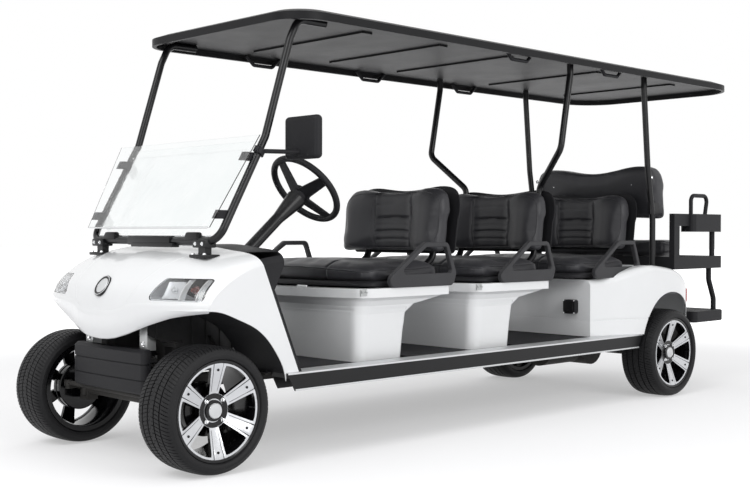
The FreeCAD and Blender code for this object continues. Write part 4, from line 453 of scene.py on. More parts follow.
# Distance from the middle, radius, then depth of the first and second sipe there
TREAD = ((0.0962, 0.2335, 0.002, 0.001), (0.0915, 0.2372, 0.0042, 0.003), (0.08, 0.241, 0.0048, 0.0035),
         (0.068, 0.243, 0.0048, 0.003), (0.058, 0.244, 0.0045, 0), (0.0574, 0.2376, 0, 0),
         (0.052, 0.238, 0, 0), (0.0514, 0.2444, 0.0045, 0), (0.0372, 0.2449, 0.0045, 0.003),
         (0.0226, 0.2452, 0.0045, 0.0035), (0.022, 0.2388, 0, 0), (0.0166, 0.2388, 0, 0),
         (0.016, 0.24525, 0.004, 0.003), (0.006, 0.2453, 0.0035, 0), (0, 0.2453, 0, 0))
# Shares of one pitch at which the section is drawn, and the steps that lie in its two sipes
PITCH, PITCHES = (0, 0.02, 0.085, 0.105, 0.3, 0.5, 0.52, 0.585, 0.605, 0.8), 50
FIRST_SIPE, SECOND_SIPE = (1, 2), (6, 7)
SWEEP, SWEEP_REACH, SWEEP_POWER = 0.085, 0.09, 1.3

SPOKES, SPOKE_TURN, FIRST_SPOKE = 6, 60, 30
RIM_EDGE, RIM_WAIST, WAIST_START, WAIST_RUN = 0.1932, 0.0062, 12.5, 6.5
SPOKE_HALF, SPOKE_START, SPOKE_FLARE = 0.0215, 0.066, 0.0115 / 0.106
WINDOW_IN, WINDOW_OUT, WINDOW_CROWN, WINDOW_SIDE, CORNER = 0.0665, 0.1735, 0.1745, 0.1685, 0.01
GROOVE = ((0.074, 0.0128), (0.12, 0.0165), (0.187, 0.0222))
GROOVE_WIDE = 0.0021
DISH_LOW, DISH_START, DISH_RUN, DISH_DEPTH = 0.056, 0.06, 0.118, 0.0358
NUTS, NUT_CIRCLE, STUD_CIRCLE = 4, 0.0535, 0.157
STEM = ((0.166, 0.0, 0.066), (0.166, 0.0, 0.096))
STEM_RADIUS = 0.0035
# Turned profiles: distance outward from the wheel's middle, and radius
BARREL = ((0.095, 0.1936), (0.095, 0.188), (0.0915, 0.182), (0.08, 0.1755), (0.03, 0.1735),
          (-0.085, 0.169), (-0.095, 0.174), (-0.095, 0.1936), (-0.0864, 0.1936), (-0.0864, 0.179),
          (0.0864, 0.179), (0.0864, 0.1936))
HUB = ((0.02, 0.05), (0.03, 0.068), (0.056, 0.068), (0.0578, 0.0655), (0.057, 0.046),
       (0.0545, 0.044), (0.0545, 0.042), (0.064, 0.0405), (0.0655, 0.0385), (0.065, 0.0325),
       (0.06, 0.031), (0.06, 0.0))
CAP = ((0.06, 0.0298), (0.069, 0.0298), (0.0712, 0.028), (0.07, 0.0262), (0.0708, 0.015), (0.0712, 0))
# Front brake drum in gloss black: a real drum, and also painted shade that blackens the windows between the spokes
DRUM_WITH_PAINTED_SHADE = ((-0.045, 0.024), (-0.045, 0.1), (-0.042, 0.104), (-0.03, 0.104), (-0.029, 0.101),
        (-0.008, 0.101), (-0.007, 0.104), (0.008, 0.104), (0.013, 0.1), (0.02, 0.064),
        (0.02, 0.024))
NUT = ((0.056, 0.0098), (0.065, 0.0098), (0.0672, 0.007), (0.071, 0.006), (0.0725, 0.003), (0.0728, 0))
STUD = ((0.0, 0.0052), (0.0022, 0.0052), (0.003, 0.0042), (0.003, 0.0026), (0.0012, 0.0022), (0.0012, 0))


def tyre_grid():
    """Sections of a tyre about its axle, one row of points (outward, across, up) for each."""
    half = [(a, r, 0, 0) for a, r in SIDEWALL] + list(TREAD)
    section = half + [(-a, r, d, e) for a, r, d, e in reversed(half[:-1])]
    a, r, first, second = np.array(section).T
    lag = SWEEP * (np.abs(a) / SWEEP_REACH) ** SWEEP_POWER + np.where(a < 0, math.tau / PITCHES / 2, 0)
    rows = []
    for k in range(PITCHES):
        for step, share in enumerate(PITCH):
            radius = r - (first * (step in FIRST_SIPE) + second * (step in SECOND_SIPE))
            angle = math.tau * (k + share) / PITCHES + lag
            rows.append(np.stack([a, radius * np.cos(angle), radius * np.sin(angle)], 1))
    return np.array(rows)


def rim_outline():
    """Edge of the bright face, a little wider where a spoke meets it."""
    points = []
    for k in range(240):
        a = math.tau * k / 240
        off = abs((math.degrees(a) % SPOKE_TURN) - FIRST_SPOKE)
        r = RIM_EDGE - RIM_WAIST * min(1.0, max(0.0, (off - WAIST_START) / WAIST_RUN))
        points.append((r * math.cos(a), r * math.sin(a)))
    return points


def spoke_half(r):
    return SPOKE_HALF + SPOKE_FLARE * (r - SPOKE_START)


def spoke_angle(k):
    return math.radians(FIRST_SPOKE + SPOKE_TURN * k)


def beside_spoke(k, r, offset):
    """A point at a distance along spoke k's middle line and to one side of it."""
    a = spoke_angle(k)
    return (r * math.cos(a) - offset * math.sin(a), r * math.sin(a) + offset * math.cos(a))


def arc(radius, start, end, count):
    return [(radius * math.cos(t), radius * math.sin(t)) for t in np.linspace(start, end, count)]


def window(k):
    """Opening between spoke k and the next, its outer corners rounded."""
    inner = math.asin(spoke_half(0.062) / WINDOW_IN)
    outer = math.asin(spoke_half(0.17) / WINDOW_OUT)
    first, second = spoke_angle(k), spoke_angle(k + 1)
    side, wide = WINDOW_SIDE - CORNER, spoke_half(0.168 - CORNER)
    return (arc(WINDOW_IN, first + inner, second - inner, 5)
            + [beside_spoke(k + 1, side, -wide)]
            + arc(WINDOW_OUT, second - outer - 0.012, second - outer - 0.06, 3)
            + arc(WINDOW_CROWN, second - outer - 0.09, first + outer + 0.09, 8)
            + arc(WINDOW_OUT, first + outer + 0.06, first + outer + 0.012, 3)
            + [beside_spoke(k, side, wide)])


def spoke_groove(k, side):
    """A narrow slot between a spoke's broad middle and its edge."""
    inner = [beside_spoke(k, r, side * off) for r, off in GROOVE]
    outer = [beside_spoke(k, r, side * (off + GROOVE_WIDE)) for r, off in GROOVE]
    return inner + outer[::-1]


def face_height(flat):
    share = np.clip((np.hypot(flat[:, 0], flat[:, 1]) - DISH_START) / DISH_RUN, 0, 1)
    return DISH_LOW + DISH_DEPTH * (share * 0.85 + 0.15 * share * share * (3 - 2 * share))


def set_in(points, x, y, side):
    """Points (u, v, outward) of a wheel put at their place on the cart."""
    return [(x + w * side, y + u, AXLE_Z + v) for u, v, w in points]


def make_wheels():
    grid = tyre_grid()
    outline = rim_outline()
    windows = [window(k) for k in range(SPOKES)]
    grooves = [spoke_groove(k, side) for k in range(SPOKES) for side in SIDES]
    bright = plate(outline, windows + grooves, face_height, 0.0022, 0.0075)
    under = plate([(u * 0.997, v * 0.997) for u, v in outline], windows,
                  lambda flat: face_height(flat) - 0.0018, 0.015, 0.0095)
    for end, (x, y, side) in WHEELS.items():
        body, axis, centre = "wheel_" + end, (side, 0, 0), (x, y, AXLE_Z)
        points = (grid * (side, 1, 1) + centre).reshape(-1, 3)
        Shape().add(lattice(points.tolist(), *grid.shape[:2], True)).make(
            "tyre_tread_" + end, body, "tyre_rubber", ["rubber"], "tyre_" + end, smooth=28)
        made = Shape().add((set_in(bright[0], x, y, side), bright[1]), 0)
        made.add((set_in(under[0], x, y, side), under[1]), 1)
        made.add(spin(BARREL, centre, axis, 120, True), 1)
        made.add(spin(HUB, centre, axis), 1)
        made.add(spin(CAP, centre, axis), 2)
        # The front wheels get a gloss-black drum: partly a drum, partly painted shade in the windows
        if end.startswith("front"):
            made.add(spin(DRUM_WITH_PAINTED_SHADE, centre, axis, 64, True), 1)
        for k in range(NUTS):
            a = math.tau * (k + 0.5) / NUTS
            at = (x, y + NUT_CIRCLE * math.cos(a), AXLE_Z + NUT_CIRCLE * math.sin(a))
            made.add(spin(NUT, at, axis, 6), 3)
        for k in range(SPOKES):
            u, v = beside_spoke(k, STUD_CIRCLE, 0.0)
            w = float(face_height(np.array([[u, v]]))[0])
            made.add(spin(STUD, set_in([(u, v, w)], x, y, side)[0], axis, 14), 4)
        made.add(pipe(set_in(STEM, x, y, side), STEM_RADIUS, 10), 1)
        made.make("wheel_face_" + end, body, "rim_alloy", ["alloy", "gloss", "cap", "chrome", "steel"],
                  "rim_" + end, smooth=30)


make_wheels()


# Upholstery: cushions and backs swollen as cloth over their CAD solids, then creased and seamed
ROWS = {"front": (-1.094, "cushion_front"), "middle": (-0.329, "cushion_middle"), "third": (0.461, "cushion_third")}
# Cloth: frames run, pressure, mass, stiffness against stretch and against bending
FRAMES, PRESSURE, MASS, STRETCH, BENDING = 20, 4.0, 0.3, 18, 1.0
SEAM_X = 0.212
# Bench cushion: depth of its pan, underside as built, where the padding starts, and how far it stands off
PAN_LOW, PAN_SHARE, SOLID_LOW, PAD_LOW, PAD_SHARE = 0.6768, 0.3, 0.6763, 0.704, 0.72
PAD_FLOOR, BENCH_MIDDLE, LEG_CREASE, WELT_Z = 0.7035, 0.335, 0.7435, 0.77
# Bench back: half-width of the middle panel at the height where its wave starts, and its channels
PANEL, PANEL_WAVE, WAVE_LOW, WAVE_RATE = 0.122, 0.01, 0.83, 9
CHANNELS = ((1.063, 0.003), (0.996, 0.0085), (0.962, 0.0035), (0.929, 0.008), (0.888, 0.0035))


def positions(mesh, items="vertices", field="co"):
    """A field of a mesh's items, three numbers to a row."""
    out = np.empty(len(mesh.vertices) * 3)
    getattr(mesh, items).foreach_get(field, out)
    return out.reshape(-1, 3)


def polygons(mesh):
    return [tuple(p.vertices) for p in mesh.polygons]


def corners(node):
    """Vertices and faces of a CAD node's mesh."""
    return positions(NODES[node].data), polygons(NODES[node].data)


def joined(name, points, faces):
    """A mesh in which doubled points are one."""
    mesh = bpy.data.meshes.new(name)
    mesh.from_pydata(points.tolist(), [], faces)
    work = bmesh.new()
    work.from_mesh(mesh)
    bmesh.ops.remove_doubles(work, verts=work.verts, dist=1e-5)
    work.to_mesh(mesh)
    work.free()
    return mesh


def settle(obj):
    """Turns an object's modifiers into its mesh."""
    ready = obj.evaluated_get(bpy.context.evaluated_depsgraph_get())
    mesh = bpy.data.meshes.new_from_object(ready)
    obj.modifiers.clear()
    obj.data = mesh


def solid(name, points, faces, voxel):
    """A remeshed object of even quads."""
    obj = bpy.data.objects.new(name, joined(name, points, faces))
    bpy.context.scene.collection.objects.link(obj)
    remesh = obj.modifiers.new("remesh", "REMESH")
    remesh.mode, remesh.voxel_size, remesh.adaptivity = "VOXEL", voxel, 0.0
    settle(obj)
    return obj


def blow_up(obj, cap):
    """Runs the cloth, and takes its shape with no point moved further than cap."""
    start = positions(obj.data)
    settings = obj.modifiers.new("cloth", "CLOTH").settings
    settings.use_pressure, settings.uniform_pressure_force = True, PRESSURE
    settings.quality, settings.mass = 4, MASS
    settings.tension_stiffness = settings.compression_stiffness = STRETCH
    settings.bending_stiffness = BENDING
    settings.effector_weights.gravity = 0
    for number in range(1, FRAMES + 1):
        bpy.context.scene.frame_set(number)
    ready = obj.evaluated_get(bpy.context.evaluated_depsgraph_get())
    moved = positions(ready.data) - start
    obj.modifiers.clear()
    bpy.context.scene.frame_set(1)
    far = np.linalg.norm(moved, axis=1, keepdims=True)
    moved *= np.where(far > 1e-9, cap * np.tanh(far / cap) / np.maximum(far, 1e-9), 0)
    obj.data.vertices.foreach_set("co", (start + moved).ravel())


def swell(name, points, faces, voxel, cap):
    """The solid blown up as cloth, smoothed and divided once: its object, points and normals."""
    obj = solid(name, points, faces, voxel)
    blow_up(obj, cap)
    soften = obj.modifiers.new("soften", "SMOOTH")
    soften.factor, soften.iterations = 0.5, 3
    divide = obj.modifiers.new("divide", "SUBSURF")
    divide.levels = divide.render_levels = 1
    settle(obj)
    return obj, positions(obj.data), positions(obj.data, "vertex_normals", "vector")


def finished(obj, points):
    """A tree and a Shape of the surface whose points have moved."""
    obj.data.vertices.foreach_set("co", points.ravel())
    made = positions(obj.data).tolist(), polygons(obj.data)
    bpy.data.objects.remove(obj)
    return BVHTree.FromPolygons(*made), Shape().add(made)


def about_middle(points, scale):
    middle = points.mean(axis=0)
    return middle + (points - middle) * scale


def bell(distance, width):
    return np.exp(-(distance / width) ** 2)


def ramp(value, low, high):
    t = np.clip((value - low) / (high - low), 0, 1)
    return t * t * (3 - 2 * t)


def on_skin(tree, start, towards):
    hit, normal, *_ = tree.ray_cast(Vector(start), Vector(towards).normalized())
    return hit, normal


def traced(tree, starts, towards):
    """Where rays from the starts meet the surface."""
    hits = [on_skin(tree, start, towards)[0] for start in starts]
    return [hit for hit in hits if hit is not None]


def welt(tree, path, radius, sink):
    """A closed cord laid on the surface along a path of points near it."""
    laid = []
    for p in path:
        at, normal, *_ = tree.find_nearest(Vector(p))
        laid.append(at - normal * sink)
    laid = [(laid[i - 1] + laid[i] * 2 + laid[(i + 1) % len(laid)]) / 4 for i in range(len(laid))]
    return pipe(laid, radius, 8, True)


def squarish(half_u, half_v, power_u, power_v, count):
    """A ring of points between an ellipse and its box; lower powers are squarer."""
    ring = []
    for k in range(count):
        a = math.tau * k / count
        c, s = math.cos(a), math.sin(a)
        ring.append((half_u * math.copysign(abs(c) ** power_u, c), half_v * math.copysign(abs(s) ** power_v, s)))
    return ring


def cushion_outline(half, front, rear, bow, corner, inset):
    """Round a cushion's plan: straight rear and sides, bowed front, rounded corners."""
    flat, bend = half - corner, corner - inset
    path = []
    for k in range(41):
        x = flat * (1 - k / 20)
        path.append((x, front + inset + bow * (x / half) ** 2))
    turn = []
    for k in range(1, 9):
        a = math.pi / 2 * k / 8
        y = front + bow * (flat / half) ** 2 + corner
        turn.append((-flat - bend * math.sin(a), y - bend * math.cos(a)))
    left = [(-(half - inset), front + bow + corner + (rear - front - bow - corner - 0.03) * k / 14)
            for k in range(1, 15)]
    back = [((half - 0.03) * (-1 + k / 15), rear - inset) for k in range(31)]
    return path + turn + left + back + [(-x, y) for x, y in reversed(turn + left)]


def bench_cushion():
    """Cushion of a forward row, built for the front row."""
    y0 = ROWS["front"][0]
    middle = y0 + BENCH_MIDDLE
    points, faces = corners("cushion_front")
    pan = points.copy()
    points[:, 2] = PAD_LOW + (points[:, 2] - SOLID_LOW) * PAD_SHARE
    points[:, 0] *= 0.988
    points[:, 1] = middle + (points[:, 1] - middle) * 0.985
    obj, p, n = swell("cushion_cloth", points, faces, 0.0125, 0.028)
    across, along, height = p[:, 0], p[:, 1] - y0, p[:, 2]
    up = ramp(n[:, 2], 0.1, 0.7)
    front = ramp(-n[:, 1], 0.3, 0.8) * ramp(0.2 - along, 0, 0.05)
    side = ramp(np.abs(n[:, 0]), 0.5, 0.85)
    depth = np.zeros(len(p))
    for x in (SEAM_X, -SEAM_X):
        seam = np.maximum(front, up * ramp(along, 0.0, 0.06) * (1 - ramp(along, 0.5, 0.6)))
        depth += 0.0055 * bell(across - x, 0.0055) * seam
    crease = LEG_CREASE + 0.004 * np.sin(along * 14)
    depth += 0.0045 * bell(height - crease, 0.006) * side * ramp(along, 0.2, 0.3) * (1 - ramp(along, 0.5, 0.56))
    for x in (0.33, -0.33):
        depth += up * 0.011 * np.exp(-((across - x) / 0.13) ** 2 - ((along - 0.34) / 0.17) ** 2)
    depth += up * 0.01 * ramp(np.abs(across), 0.2, 0.42) * (1 - ramp(along, 0.04, 0.3))
    depth -= up * 0.006 * bell(across, 0.16) * (1 - ramp(along, 0.1, 0.45))
    p -= n * depth[:, None]
    p[:, 2] = np.maximum(p[:, 2], PAD_FLOOR)
    tree, made = finished(obj, p)
    plan = cushion_outline(0.47, y0 + 0.04, y0 + 0.63, 0.056, 0.085, 0.022)
    edge = []
    for x, y in plan:
        hit, _ = on_skin(tree, (x, y, 0.95), DOWN)
        edge.append((x, y, WELT_Z) if hit is None else hit)
    made.add(welt(tree, edge, 0.0036, -0.0006))
    for x in (SEAM_X, -SEAM_X):
        starts = [(x, y0 - 0.1, 0.708 + 0.075 * step) for step in np.linspace(0.05, 0.95, 14)]
        made.add(pipe([q + Vector((0, 0.0012, 0)) for q in traced(tree, starts, REARWARD)], 0.0016, 6))
    pan[:, 2] = PAN_LOW + (pan[:, 2] - SOLID_LOW) * PAN_SHARE
    pan[:, 0] *= 0.979
    pan[:, 1] = middle + (pan[:, 1] - middle) * 0.972
    return made.add((pan.tolist(), faces), 1)


def bench_back():
    """Back of a forward row, built for the front row."""
    y0 = ROWS["front"][0]
    points, faces = corners("backrest_front")
    obj, p, n = swell("back_cloth", about_middle(points, (0.985, 0.94, 0.985)), faces, 0.0115, 0.014)
    x, z = p[:, 0], p[:, 2]
    forward = ramp(-n[:, 1], 0.25, 0.75)
    low = 1 - ramp(z, 0.98, 1.12)
    panel = PANEL + PANEL_WAVE * np.sin((z - WAVE_LOW) * WAVE_RATE)
    recess = 0.04 * (1 - ramp(np.abs(x), 0.08, 0.215)) * (0.35 + 0.65 * low)
    bolster = 0.012 * bell(np.abs(x) - 0.27, 0.06) * (1 - ramp(z, 1.03, 1.12))
    groove = 0.0075 * bell(np.abs(x) - panel, 0.0065) * (1 - ramp(z, 1.08, 1.12)) * ramp(z, 0.825, 0.845)
    within = 1 - ramp(np.abs(x), 0.108, 0.124)
    for at, deep in CHANNELS:
        bent = at + 0.006 * np.cos(x / 0.12 * 1.4) - 0.004
        groove += deep * bell(z - bent, 0.0075) * within
    p[:, 1] += forward * (recess - bolster + groove)
    tree, made = finished(obj, p)
    for side in SIDES:
        starts = [(side * (PANEL + PANEL_WAVE * math.sin((z - WAVE_LOW) * WAVE_RATE)), y0 + 0.4, z)
                  for z in np.linspace(0.845, 1.095, 26)]
        made.add(pipe([q + Vector((0, 0.0004, 0)) for q in traced(tree, starts, REARWARD)], 0.0022, 6))
    ring = [(u, y0 + 0.4, 0.984 + v) for u, v in squarish(0.33, 0.14, 0.35, 0.4, 96)]
    return made.add(welt(tree, traced(tree, ring, REARWARD), 0.003, 0.0004))


def rear_seat():
    """The rearward seat's own cushion and back."""
    points, faces = corners("rear_cushion")
    middle = points.mean(axis=0)[1]
    obj, p, n = swell("rear_cloth", about_middle(points, (0.985, 0.97, 0.86)), faces, 0.0125, 0.014)
    up = ramp(n[:, 2], 0.1, 0.7)
    rear = ramp(n[:, 1], 0.4, 0.8)
    depth = up * 0.006 * (bell(p[:, 0] - 0.22, 0.12) + bell(p[:, 0] + 0.22, 0.12)) * bell(p[:, 1] - 1.58, 0.1)
    for x in (SEAM_X, -SEAM_X):
        depth += 0.005 * bell(p[:, 0] - x, 0.006) * np.maximum(rear, up)
    p -= n * depth[:, None]
    tree, cushion = finished(obj, p)
    ring = [(u, middle + v, 1.0) for u, v in squarish(0.415, 0.088, 0.2, 0.3, 160)]
    cushion.add(welt(tree, traced(tree, ring, DOWN), 0.0034, -0.0004))
    points, faces = corners("rear_backrest")
    obj, p, n = swell("rear_back_cloth", about_middle(points, (0.985, 0.94, 0.985)), faces, 0.0125, 0.012)
    x, z = p[:, 0], p[:, 2]
    deep = 0.012 * (1 - ramp(np.abs(x), 0.1, 0.36)) * (1 - ramp(z, 1.16, 1.28))
    for at in (0.15, -0.15):
        deep += 0.006 * bell(x - at, 0.0065) * (1 - ramp(z, 1.25, 1.29))
    for at in (1.085, 1.165, 1.225):
        deep += 0.005 * bell(z - at, 0.007) * (1 - ramp(np.abs(x), 0.135, 0.152))
    p[:, 1] -= ramp(n[:, 1], 0.25, 0.75) * deep
    return cushion, finished(obj, p)[1]


def carried(shape, run):
    """A copy of a shape, moved along Y."""
    copy = Shape()
    copy.points = [(x, y + run, z) for x, y, z in shape.points]
    copy.faces, copy.marks = shape.faces, shape.marks
    return copy


def make_seats():
    cushion, back = bench_cushion(), bench_back()
    for row, (y, body) in ROWS.items():
        run = y - ROWS["front"][0]
        seat = carried(cushion, run).make("seat_" + row, body, "upholstery", ["leather", "plastic"], "cushion_" + row,
                                        smooth=60)
        rest = carried(back, run).make("seat_back_" + row, "body", "upholstery", ["leather"], "backrest_" + row,
                                     smooth=60)
    cushion, back = rear_seat()
    seat = cushion.make("seat_rear", "rear_cushion", "upholstery", ["leather"], "rear_cushion", smooth=60)
    rest = back.make("seat_back_rear", "body", "upholstery", ["leather"], "rear_backrest", smooth=60)


make_seats()


# Body trims: strips, lamps, badge, creases, hoop fittings, hasps, bolts and glass
ENDS = ((1, "left"), (-1, "right"))
BEFORE = -2.4
# Sill strips: the step's ribbed top from its inner edge outward, and the lower edge, as (out, up)
STRIP_TOP, STRIP_EDGE, STRIP_END, RIB_PITCH = 0.3634, 0.5862, 0.505, 0.0104
RIB = ((0, 0), (0.0016, 0.0008), (0.0032, 0.0008), (0.0048, 0))
STRIP_LOW = ((0.5878, 0.289), (0.5905, 0.2885), (0.5912, 0.29), (0.5912, 0.2945), (0.59, 0.296),
             (0.5878, 0.296))
# Headlamps: the dish's middle and reach, the dividers, then bulbs as (x, z, how far back, profile, material)
DISH_X, DISH_Z, DISH_WIDE, DISH_HIGH = 0.412, 0.698, 0.04, 0.03
DIVIDERS, DIVIDER_HALF = (0.462, 0.53), 0.0045
BULBS = ((0.497, 0.7, 0.034, ((0, 0.017), (0.004, 0.016), (0.006, 0.01), (0.018, 0.01), (0.024, 0.006),
                                (0.025, 0)), 2),
         (0.412, 0.698, 0.026, ((0, 0.015), (0.003, 0.014), (0.004, 0.0075), (0.012, 0.0075), (0.016, 0.004),
                                (0.017, 0)), 0))
# Across the nose from its middle: the belt crease and the lower edge of the lip below it
LIP_X = (0, 0.06, 0.11, 0.158, 0.19, 0.24, 0.3, 0.352, 0.417, 0.475, 0.55, 0.575)
LIP_TOP = (0.609, 0.61, 0.614, 0.624, 0.64, 0.648, 0.65, 0.651, 0.652, 0.653, 0.654, 0.652)
LIP_LOW = (0.496, 0.4985, 0.505, 0.517, 0.526, 0.543, 0.563, 0.578, 0.596, 0.607, 0.617, 0.62)
LIP_HALF, LIP_COLUMNS, LIP_ROWS, LIP_THICK = 0.5745, 97, 9, 0.006
RIDGE = ((0.19, -2.026, 0.645), (0.225, -2.007, 0.697), (0.248, -1.962, 0.747), (0.266, -1.91, 0.785),
         (0.287, -1.859, 0.812), (0.308, -1.806, 0.832), (0.33, -1.745, 0.85))
# Nose disc: its place up the nose, then profiles as (outward, radius) with their materials
DISC_Z, DISC_SUNK = 0.707, 0.007
DISC = (((0, 0.047), (0.0085, 0.047), (0.0105, 0.0452), (0.0105, 0.041), (0.009, 0.0395), (0.0086, 0.03),
         (0.0094, 0.015), (0.0098, 0)), 0), \
       (((0.01, 0.0455), (0.0112, 0.0445), (0.0112, 0.0425), (0.01, 0.0415)), 1), \
       (((0.0086, 0.033), (0.01, 0.031), (0.0112, 0.018), (0.0116, 0)), 1)
# Front arches: the inner wall's outline (y, z), its place and thickness, and its beads
ARCH = ((-1.972, 0.52), (-1.972, 0.64), (-1.9, 0.69), (-1.7, 0.7), (-1.56, 0.7), (-1.56, 0.372),
        (-1.8, 0.372), (-1.812, 0.49), (-1.905, 0.49))
ARCH_X, ARCH_THICK = 0.258, 0.003
BEADS = ((-1.93, 0.505), (-1.76, 0.385), (-1.69, 0.385), (-1.62, 0.385))
HOOP_Y, HOOP_Z, HOOP_PAD, HOOP_FOOT = -1.786, 0.887, 0.305, 0.38
REAR_BOLTS = ((0.4149, 1.244), (0.284, 1.21), (0.3, 1.06))
REAR_BOLT = ((-0.004, 0.011), (0.003, 0.011), (0.006, 0.0085), (0.0074, 0.004), (0.0076, 0))
MIRROR_X, MIRROR_Z = 0.547, 1.306
SOCKET = (0.368, 0.631, 0.52)
# Tail lenses: reach along Y and up, points each way, and how proud the edge and the ribs stand
TAIL_Y, TAIL_Z, TAIL_COLUMNS, TAIL_ROWS = (1.4925, 1.5245), (0.52, 0.6), 9, 17
TAIL_PROUD, TAIL_RIB = (0.0008, 0.0034, 0.0042), 0.0006
BRACKET_X, BRACKET_HALF, BRACKET_Y, BRACKET_Z = 0.205, 0.024, -1.956, (0.455, 0.585)


def skin(node):
    """A tree of a CAD node's surface, to lay trims on."""
    return BVHTree.FromPolygons(*corners(node))


def prism(outline, start, end):
    """A closed outline made solid between two copies of it, each given by a function of its points."""
    return capped([start(p) for p in outline] + [end(p) for p in outline], 2)


def make_sill_trims():
    ribs = []
    x = STRIP_EDGE
    while x > STRIP_END:
        ribs += [(x - out, STRIP_TOP - sunk) for out, sunk in RIB]
        x -= RIB_PITCH
    top = [(0.5875, 0.355), (0.589, 0.3555), (0.5892, 0.3622), (0.5872, 0.3634)] + ribs
    top += [(0.499, 0.3634), (0.4985, 0.3612), (0.5875, 0.3612)]
    for side, end in ENDS:
        made = Shape()
        for outline, front, rear in ((top, -1.534, 1.011), (STRIP_LOW, -1.497, 0.974)):
            made.add(prism(outline, lambda p: (p[0] * side, front, p[1]), lambda p: (p[0] * side, rear, p[1])))
        made.make("sill_trim_" + end, "body", "rim_alloy", ["strip"], smooth=30)


def make_lamps():
    """Reflector dish, dividers and bulbs behind each lens; the dish's light grey is a painted reflection."""
    lens = skin("headlamps")

    def behind(x, z, side, back):
        """A point at a distance behind the lens's face."""
        return Vector((x * side, on_skin(lens, (x * side, BEFORE, z), REARWARD)[0].y + back, z))

    for side, end in ENDS:
        made = Shape()
        dish = []
        for z in np.linspace(DISH_Z - DISH_HIGH, DISH_Z + DISH_HIGH, 7):
            for x in np.linspace(DISH_X - DISH_WIDE, DISH_X + DISH_WIDE, 11):
                bowl = ((x - DISH_X) / DISH_WIDE) ** 2 + ((z - DISH_Z) / DISH_HIGH) ** 2
                dish.append(behind(x, z, side, 0.028 - 0.016 * bowl / 2))
        made.add(lattice(dish, 7, 11))
        for x in DIVIDERS:
            rows = []
            for z in np.linspace(0.664, 0.738, 8):
                front, back = behind(x, z, side, 0.005), behind(x, z, side, 0.03)
                out = Vector((DIVIDER_HALF * side, 0, 0))
                rows.extend([front - out, front + out, back + out, back - out])
            made.add(lattice(rows, 8, 4, False, True), 1)
        for x, z, back, profile, key in BULBS:
            made.add(spin(profile, behind(x, z, side, back), (0, -1, 0), 24), key)
        made.make("lamp_inside_" + end, "body", "lamp_bowl", ["bowl", "white", "amber"], smooth=35)


def make_lip(tree):
    """The nose's lower lip, from the belt crease down to its curved edge, turned in below."""
    columns = []
    for x in np.linspace(-LIP_HALF, LIP_HALF, LIP_COLUMNS):
        top, low = np.interp(abs(x), LIP_X, LIP_TOP), np.interp(abs(x), LIP_X, LIP_LOW)
        hit, normal = on_skin(tree, (x, BEFORE, top), REARWARD)
        flat = Vector((normal.x, min(normal.y, -0.25), 0)).normalized()
        outer, inner = [], []
        for t in np.linspace(0, 1, LIP_ROWS):
            drop = Vector((0, 0, top + (low - top) * t - hit.z))
            out = 0.0005 + 0.0045 * math.sin(min(1.0, t * 6) * math.pi / 2) - 0.012 * t ** 4
            outer.append(hit + flat * out + drop)
            inner.append(hit + flat * (out - LIP_THICK) + drop)
        turned = [outer[-1] - flat * 0.004 + Vector((0, 0, -0.003)), outer[-1] - flat * 0.016 + Vector((0, 0, 0.001))]
        columns.extend(outer + turned + inner[:0:-1])
    Shape().add(capped(columns, LIP_COLUMNS)).make("cowl_lip", "body", "white_body", ["white"], smooth=32)


def make_cowl_trims():
    tree = skin("front_cowl")
    make_lip(tree)
    hit, normal = on_skin(tree, (0, BEFORE, DISC_Z), REARWARD)
    made = Shape()
    for profile, key in DISC:
        made.add(spin(profile, hit - normal * DISC_SUNK, normal, 64), key)
    made.make("nose_disc", "body", "black_plastic", ["gloss", "strip"], smooth=30)
    made = Shape()
    for side in SIDES:
        laid = []
        for a, b in zip(RIDGE, RIDGE[1:]):
            for t in (0, 0.25, 0.5, 0.75):
                p = Vector(a) * (1 - t) + Vector(b) * t
                at, normal, *_ = tree.find_nearest(Vector((p.x * side, p.y, p.z)))
                laid.append(at - normal * 0.0062)
        made.add(pipe(laid, 0.0072, 14))
    made.make("cowl_ridges", "body", "white_body", ["white"], smooth=60)


def make_arch_walls():
    """Black inner walls of the front arches, between the cowl and the frame, pressed with beads."""
    made = Shape()
    for side in SIDES:
        made.add(prism(ARCH, lambda p: (ARCH_X * side, *p), lambda p: ((ARCH_X + ARCH_THICK) * side, *p)))
        left, right = sorted((0.259 * side, 0.266 * side))
        for y, low in BEADS:
            made.add(block((left, y - 0.01, low), (right, y + 0.01, 0.64), 0.003))
    made.add(block((-0.259, -1.8, 0.5), (0.259, -1.796, 0.69), 0.001))
    made.make("arch_walls", "body", "black_plastic", ["liner"], smooth=25)


def make_hoop_fittings():
    """Rubber sleeve and pads on the hoop's base bar, and bolted brackets at its feet."""
    y, z = HOOP_Y, HOOP_Z
    made = Shape()
    made.add(block((-0.15, y - 0.022, z - 0.018), (0.165, y + 0.02, z + 0.02), 0.006))
    made.add(block((-0.115, y - 0.026, z - 0.026), (0.192, y + 0.01, z - 0.008), 0.004))
    for x in (HOOP_PAD, -HOOP_PAD):
        made.add(block((x - 0.05, y - 0.02, z + 0.004), (x + 0.05, y + 0.018, z + 0.036), 0.008, taper=0.72))
    for x in (HOOP_FOOT, -HOOP_FOOT):
        made.add(block((x - 0.044, y - 0.03, z - 0.026), (x + 0.044, y + 0.024, z + 0.006), 0.006))
        made.add(block((x - 0.055, y - 0.038, z - 0.066), (x + 0.055, y + 0.034, z - 0.052), 0.004))
        for dx in (-0.038, 0.038):
            made.add(bolt((x + dx, y - 0.03, z - 0.053), (0, 0, 1), 0.006, 0.006), 1)
            made.add(bolt((x + dx * 0.6, y - 0.03, z - 0.01), (0, -1, 0), 0.005, 0.005), 1)
    made.make("hoop_fittings", "body", "black_plastic", ["smooth", "chrome"], smooth=30)


